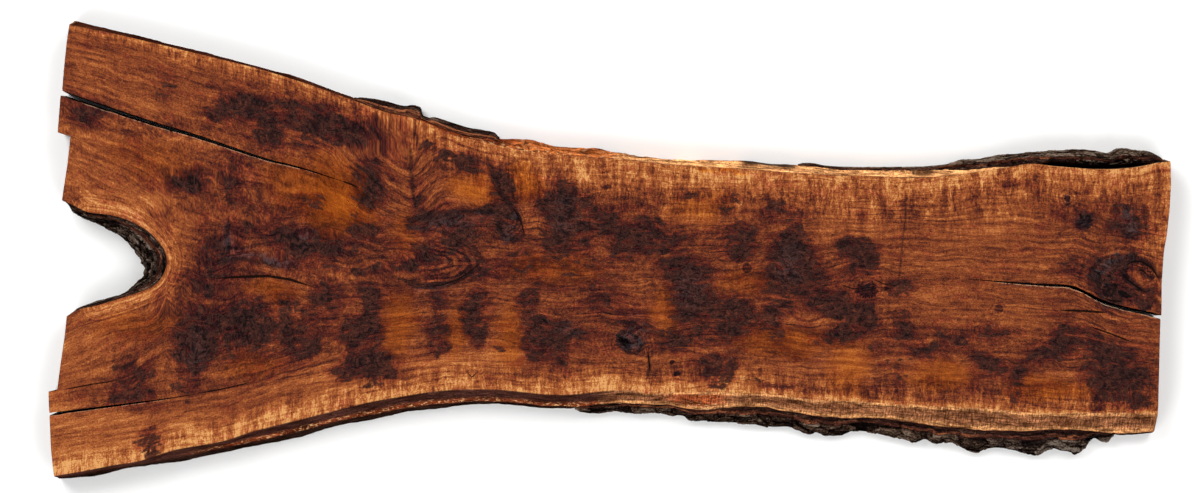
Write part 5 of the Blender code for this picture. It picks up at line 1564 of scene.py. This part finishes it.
def bark_material():
    """Dry walnut bark: near black in the crevices, partly the bark's own colour and partly painted
    shade, brown to grey on the crests, and red-brown where the inner bark shows on the broken lip.
    Its inside and the lip next to the wood are painted dark for the shade behind the bark."""
    w = Wiring("walnut_bark")
    crest_and_shade, red, ash = w.parts("bark")
    run, way, pale = w.parts("place")
    place = w.joined(run, way, 0.0)
    coarse = w.noise(place, (80, 170, 1), 5, 0.68, 0.6)
    fine = w.noise(place, (380, 600, 1), 4, 0.68)
    shreds = w.noise(place, (60, 420, 1), 4, 0.62, 0.5)
    splits = w.noise(place, (60, 230, 1), 4, 0.62, 0.8)
    splits = w.step(w.math("ABSOLUTE", w.centred(splits)), 0.035, 0.008)
    colour = w.ramp(w.total(
        (crest_and_shade, 0.56), (w.centred(coarse), 1.1), (w.centred(fine), 1.8), (pale, 0.60), (splits, -0.22),
        (1.0, 0.26),
    ), BARK_TONES)
    colour = w.mix(ash, colour, w.tinted(colour, (0.88, 1.03, 1.20)))
    inner = w.ramp(w.total(
        (shreds, 0.6), (fine, 0.4), (red, 0.34), (crest_and_shade, 0.10), (1.0, -0.22)
    ), INNER_BARK_TONES)
    inner_share = w.step(w.total((red, 1.0), (w.centred(coarse), 0.9)), 0.34, 0.56)
    height = w.total((coarse, 0.6), (fine, 0.6), (shreds, 0.3), (splits, -0.25))
    return w.finish({
        "Base Color": w.mix(inner_share, colour, inner), "Roughness": 0.92, "Specular IOR Level": 0.0,
        "Normal": w.bump(height, 0.0026),
    })


def bark_pieces(material):
    """All four patches, each in place of its node."""

    def patch(name, node, levels, outer, top, shape, tones, **more):
        """One patch from its outer line, in place of its node."""
        top, *tones = (np.broadcast_to(values, len(outer)) for values in (top, *tones))
        piece = bark_piece(name, levels, outer, top, shape, tones, material, **more)
        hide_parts(node)
        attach(piece, "root")

    def on_edge(line, levels_at, x):
        """The wall's lines and the bark's outer line on a long edge."""
        return levels_at(x), lowered(line_at(line, x), LEVELS[3])

    x = np.arange(UPPER_LEFT_BARK[0][0], UPPER_LEFT_BARK[-1][0], BARK_STEP * 0.7)
    top = THICKNESS * np.interp(x, [352, 385, 417, 420, 470, 499], [0.30, 0.16, 0.14, 0.40, 0.46, 0.60])
    levels, outer = on_edge(UPPER_LEFT_BARK, upper_levels, x)
    patch(
        "upper_left_bark", "bark_upper_left", levels, outer, top, (0.72, 0.0018, 31, 1.3),
        (0.45, 0.42, 0.2),
    )

    x = np.arange(UPPER_RIGHT_BARK[0][0], UPPER_RIGHT_BARK[-1][0], BARK_STEP)
    share = np.clip((x - HOLLOW_START) / (HOLLOW_END - HOLLOW_START), 0, 1)
    top = THICKNESS * np.interp(x, [800, 950, 990, 1030], [0.78, 0.74, 0.45, 0.06])
    levels, outer = on_edge(UPPER_RIGHT_BARK, upper_levels, x)
    patch(
        "upper_right_bark", "bark_upper_right", levels, outer, top, (0.60, 0.0034, 47, 1.4), (0, 0.82, 0),
        hollow=np.clip(np.sin(np.pi * share) * 1.9, 0, 1),
        lumps=np.interp(x, [1070, 1085, 1130, 1145], [0.4, 1.3, 1.3, 0.6]),
    )

    x = np.arange(LOWER_BARK[-1][0], LOWER_BARK[0][0], -BARK_STEP)
    red = 0.20 * between(x, 600, 660, 715, 760) + 0.02
    levels, outer = on_edge(LOWER_BARK, lower_levels, x)
    patch(
        "lower_bark", "bark_lower", levels, outer, LEVELS[2], (0.36, 0.0052, 59, 1.0),
        (red, 0.38 + 0.14 * ease(x, 950, 1010), 0.6 * ease(x, 960, 1010)),
    )

    levels, outer = bay_levels(np.linspace(0.985, 0.015, 260))
    patch("fork_bark", "bark_fork", levels, outer, LEVELS[1], (0.28, 0.0046, 71, 1.7), (-0.16, 0.44, 0.5))


# The floor's reach and how far it lies below the slab, in metres
FLOOR_REACH = 60.0
FLOOR_CLEAR = 0.0004

# Soft lights: turn round the slab in degrees, power and width, and the rise in degrees and the
# distance of all of them
LAMPS = [(130, 230, 3.2), (50, 145, 3.0), (230, 135, 3.0), (310, 135, 3.0)]
LAMP_RISE = 42
LAMP_DISTANCE = 6.0

# Greys of the sky by the height above the horizon, from 0 to 1 overhead
SKY = [(0.15, 0.97), (0.75, 0.10)]


def studio():
    """A pale floor, four soft lights round the slab and none above it, and a sky that is bright at
    the horizon and dim overhead, so that the finish shows no glare from above."""
    mesh = bpy.data.meshes.new("floor")
    corners = [(x * FLOOR_REACH, y * FLOOR_REACH, 0) for x, y in ((-1, -1), (1, -1), (1, 1), (-1, 1))]
    mesh.from_pydata(corners, [], [(0, 1, 2, 3)])
    floor = bpy.data.objects.new("floor", mesh)
    floor.location.z = -FLOOR_CLEAR
    bpy.context.scene.collection.objects.link(floor)
    look = {"Base Color": (0.93, 0.93, 0.925, 1), "Roughness": 0.9, "Specular IOR Level": 0.1}
    mesh.materials.append(Wiring("pale_floor").finish(look))

    rise = np.radians(LAMP_RISE)
    for turn, watts, size in LAMPS:
        lamp = bpy.data.lights.new(f"softbox_{turn}", "AREA")
        lamp.energy = watts
        lamp.size = size
        around = np.radians(turn)
        way = Vector((np.cos(around) * np.cos(rise), np.sin(around) * np.cos(rise), np.sin(rise)))
        holder = bpy.data.objects.new(lamp.name, lamp)
        holder.location = way * LAMP_DISTANCE
        holder.rotation_mode = "QUATERNION"
        holder.rotation_quaternion = (-way).to_track_quat("-Z", "Y")
        bpy.context.scene.collection.objects.link(holder)

    world = bpy.data.worlds.new("studio_air")
    bpy.context.scene.world = world
    world.use_nodes = True
    tree = world.node_tree
    place, split, bar = (
        tree.nodes.new(kind) for kind in ("ShaderNodeTexCoord", "ShaderNodeSeparateXYZ", "ShaderNodeValToRGB")
    )
    tree.links.new(place.outputs["Generated"], split.inputs[0])
    tree.links.new(split.outputs["Z"], bar.inputs[0])
    tree.links.new(bar.outputs[0], tree.nodes["Background"].inputs["Color"])
    for element, (height, grey) in zip(bar.color_ramp.elements, SKY):
        element.position = height
        element.color = (grey, grey, grey, 1)


def camera():
    """Straight above the sheet's centre, with the sheet's width filling the frame."""
    lens = bpy.data.cameras.new("plan_camera")
    lens.lens = LENS
    lens.sensor_width = SENSOR
    lens.clip_end = 200
    holder = bpy.data.objects.new("plan_camera", lens)
    holder.location = (*to_row(SHEET_CENTRE), THICKNESS + EYE_HEIGHT)
    bpy.context.scene.collection.objects.link(holder)
    bpy.context.scene.camera = holder


bpy.context.scene.view_settings.view_transform = "Standard"
camera()
studio()
wood = wood_piece(wood_material())
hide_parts("slab_wood")
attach(wood, "root")
bark_pieces(bark_material())
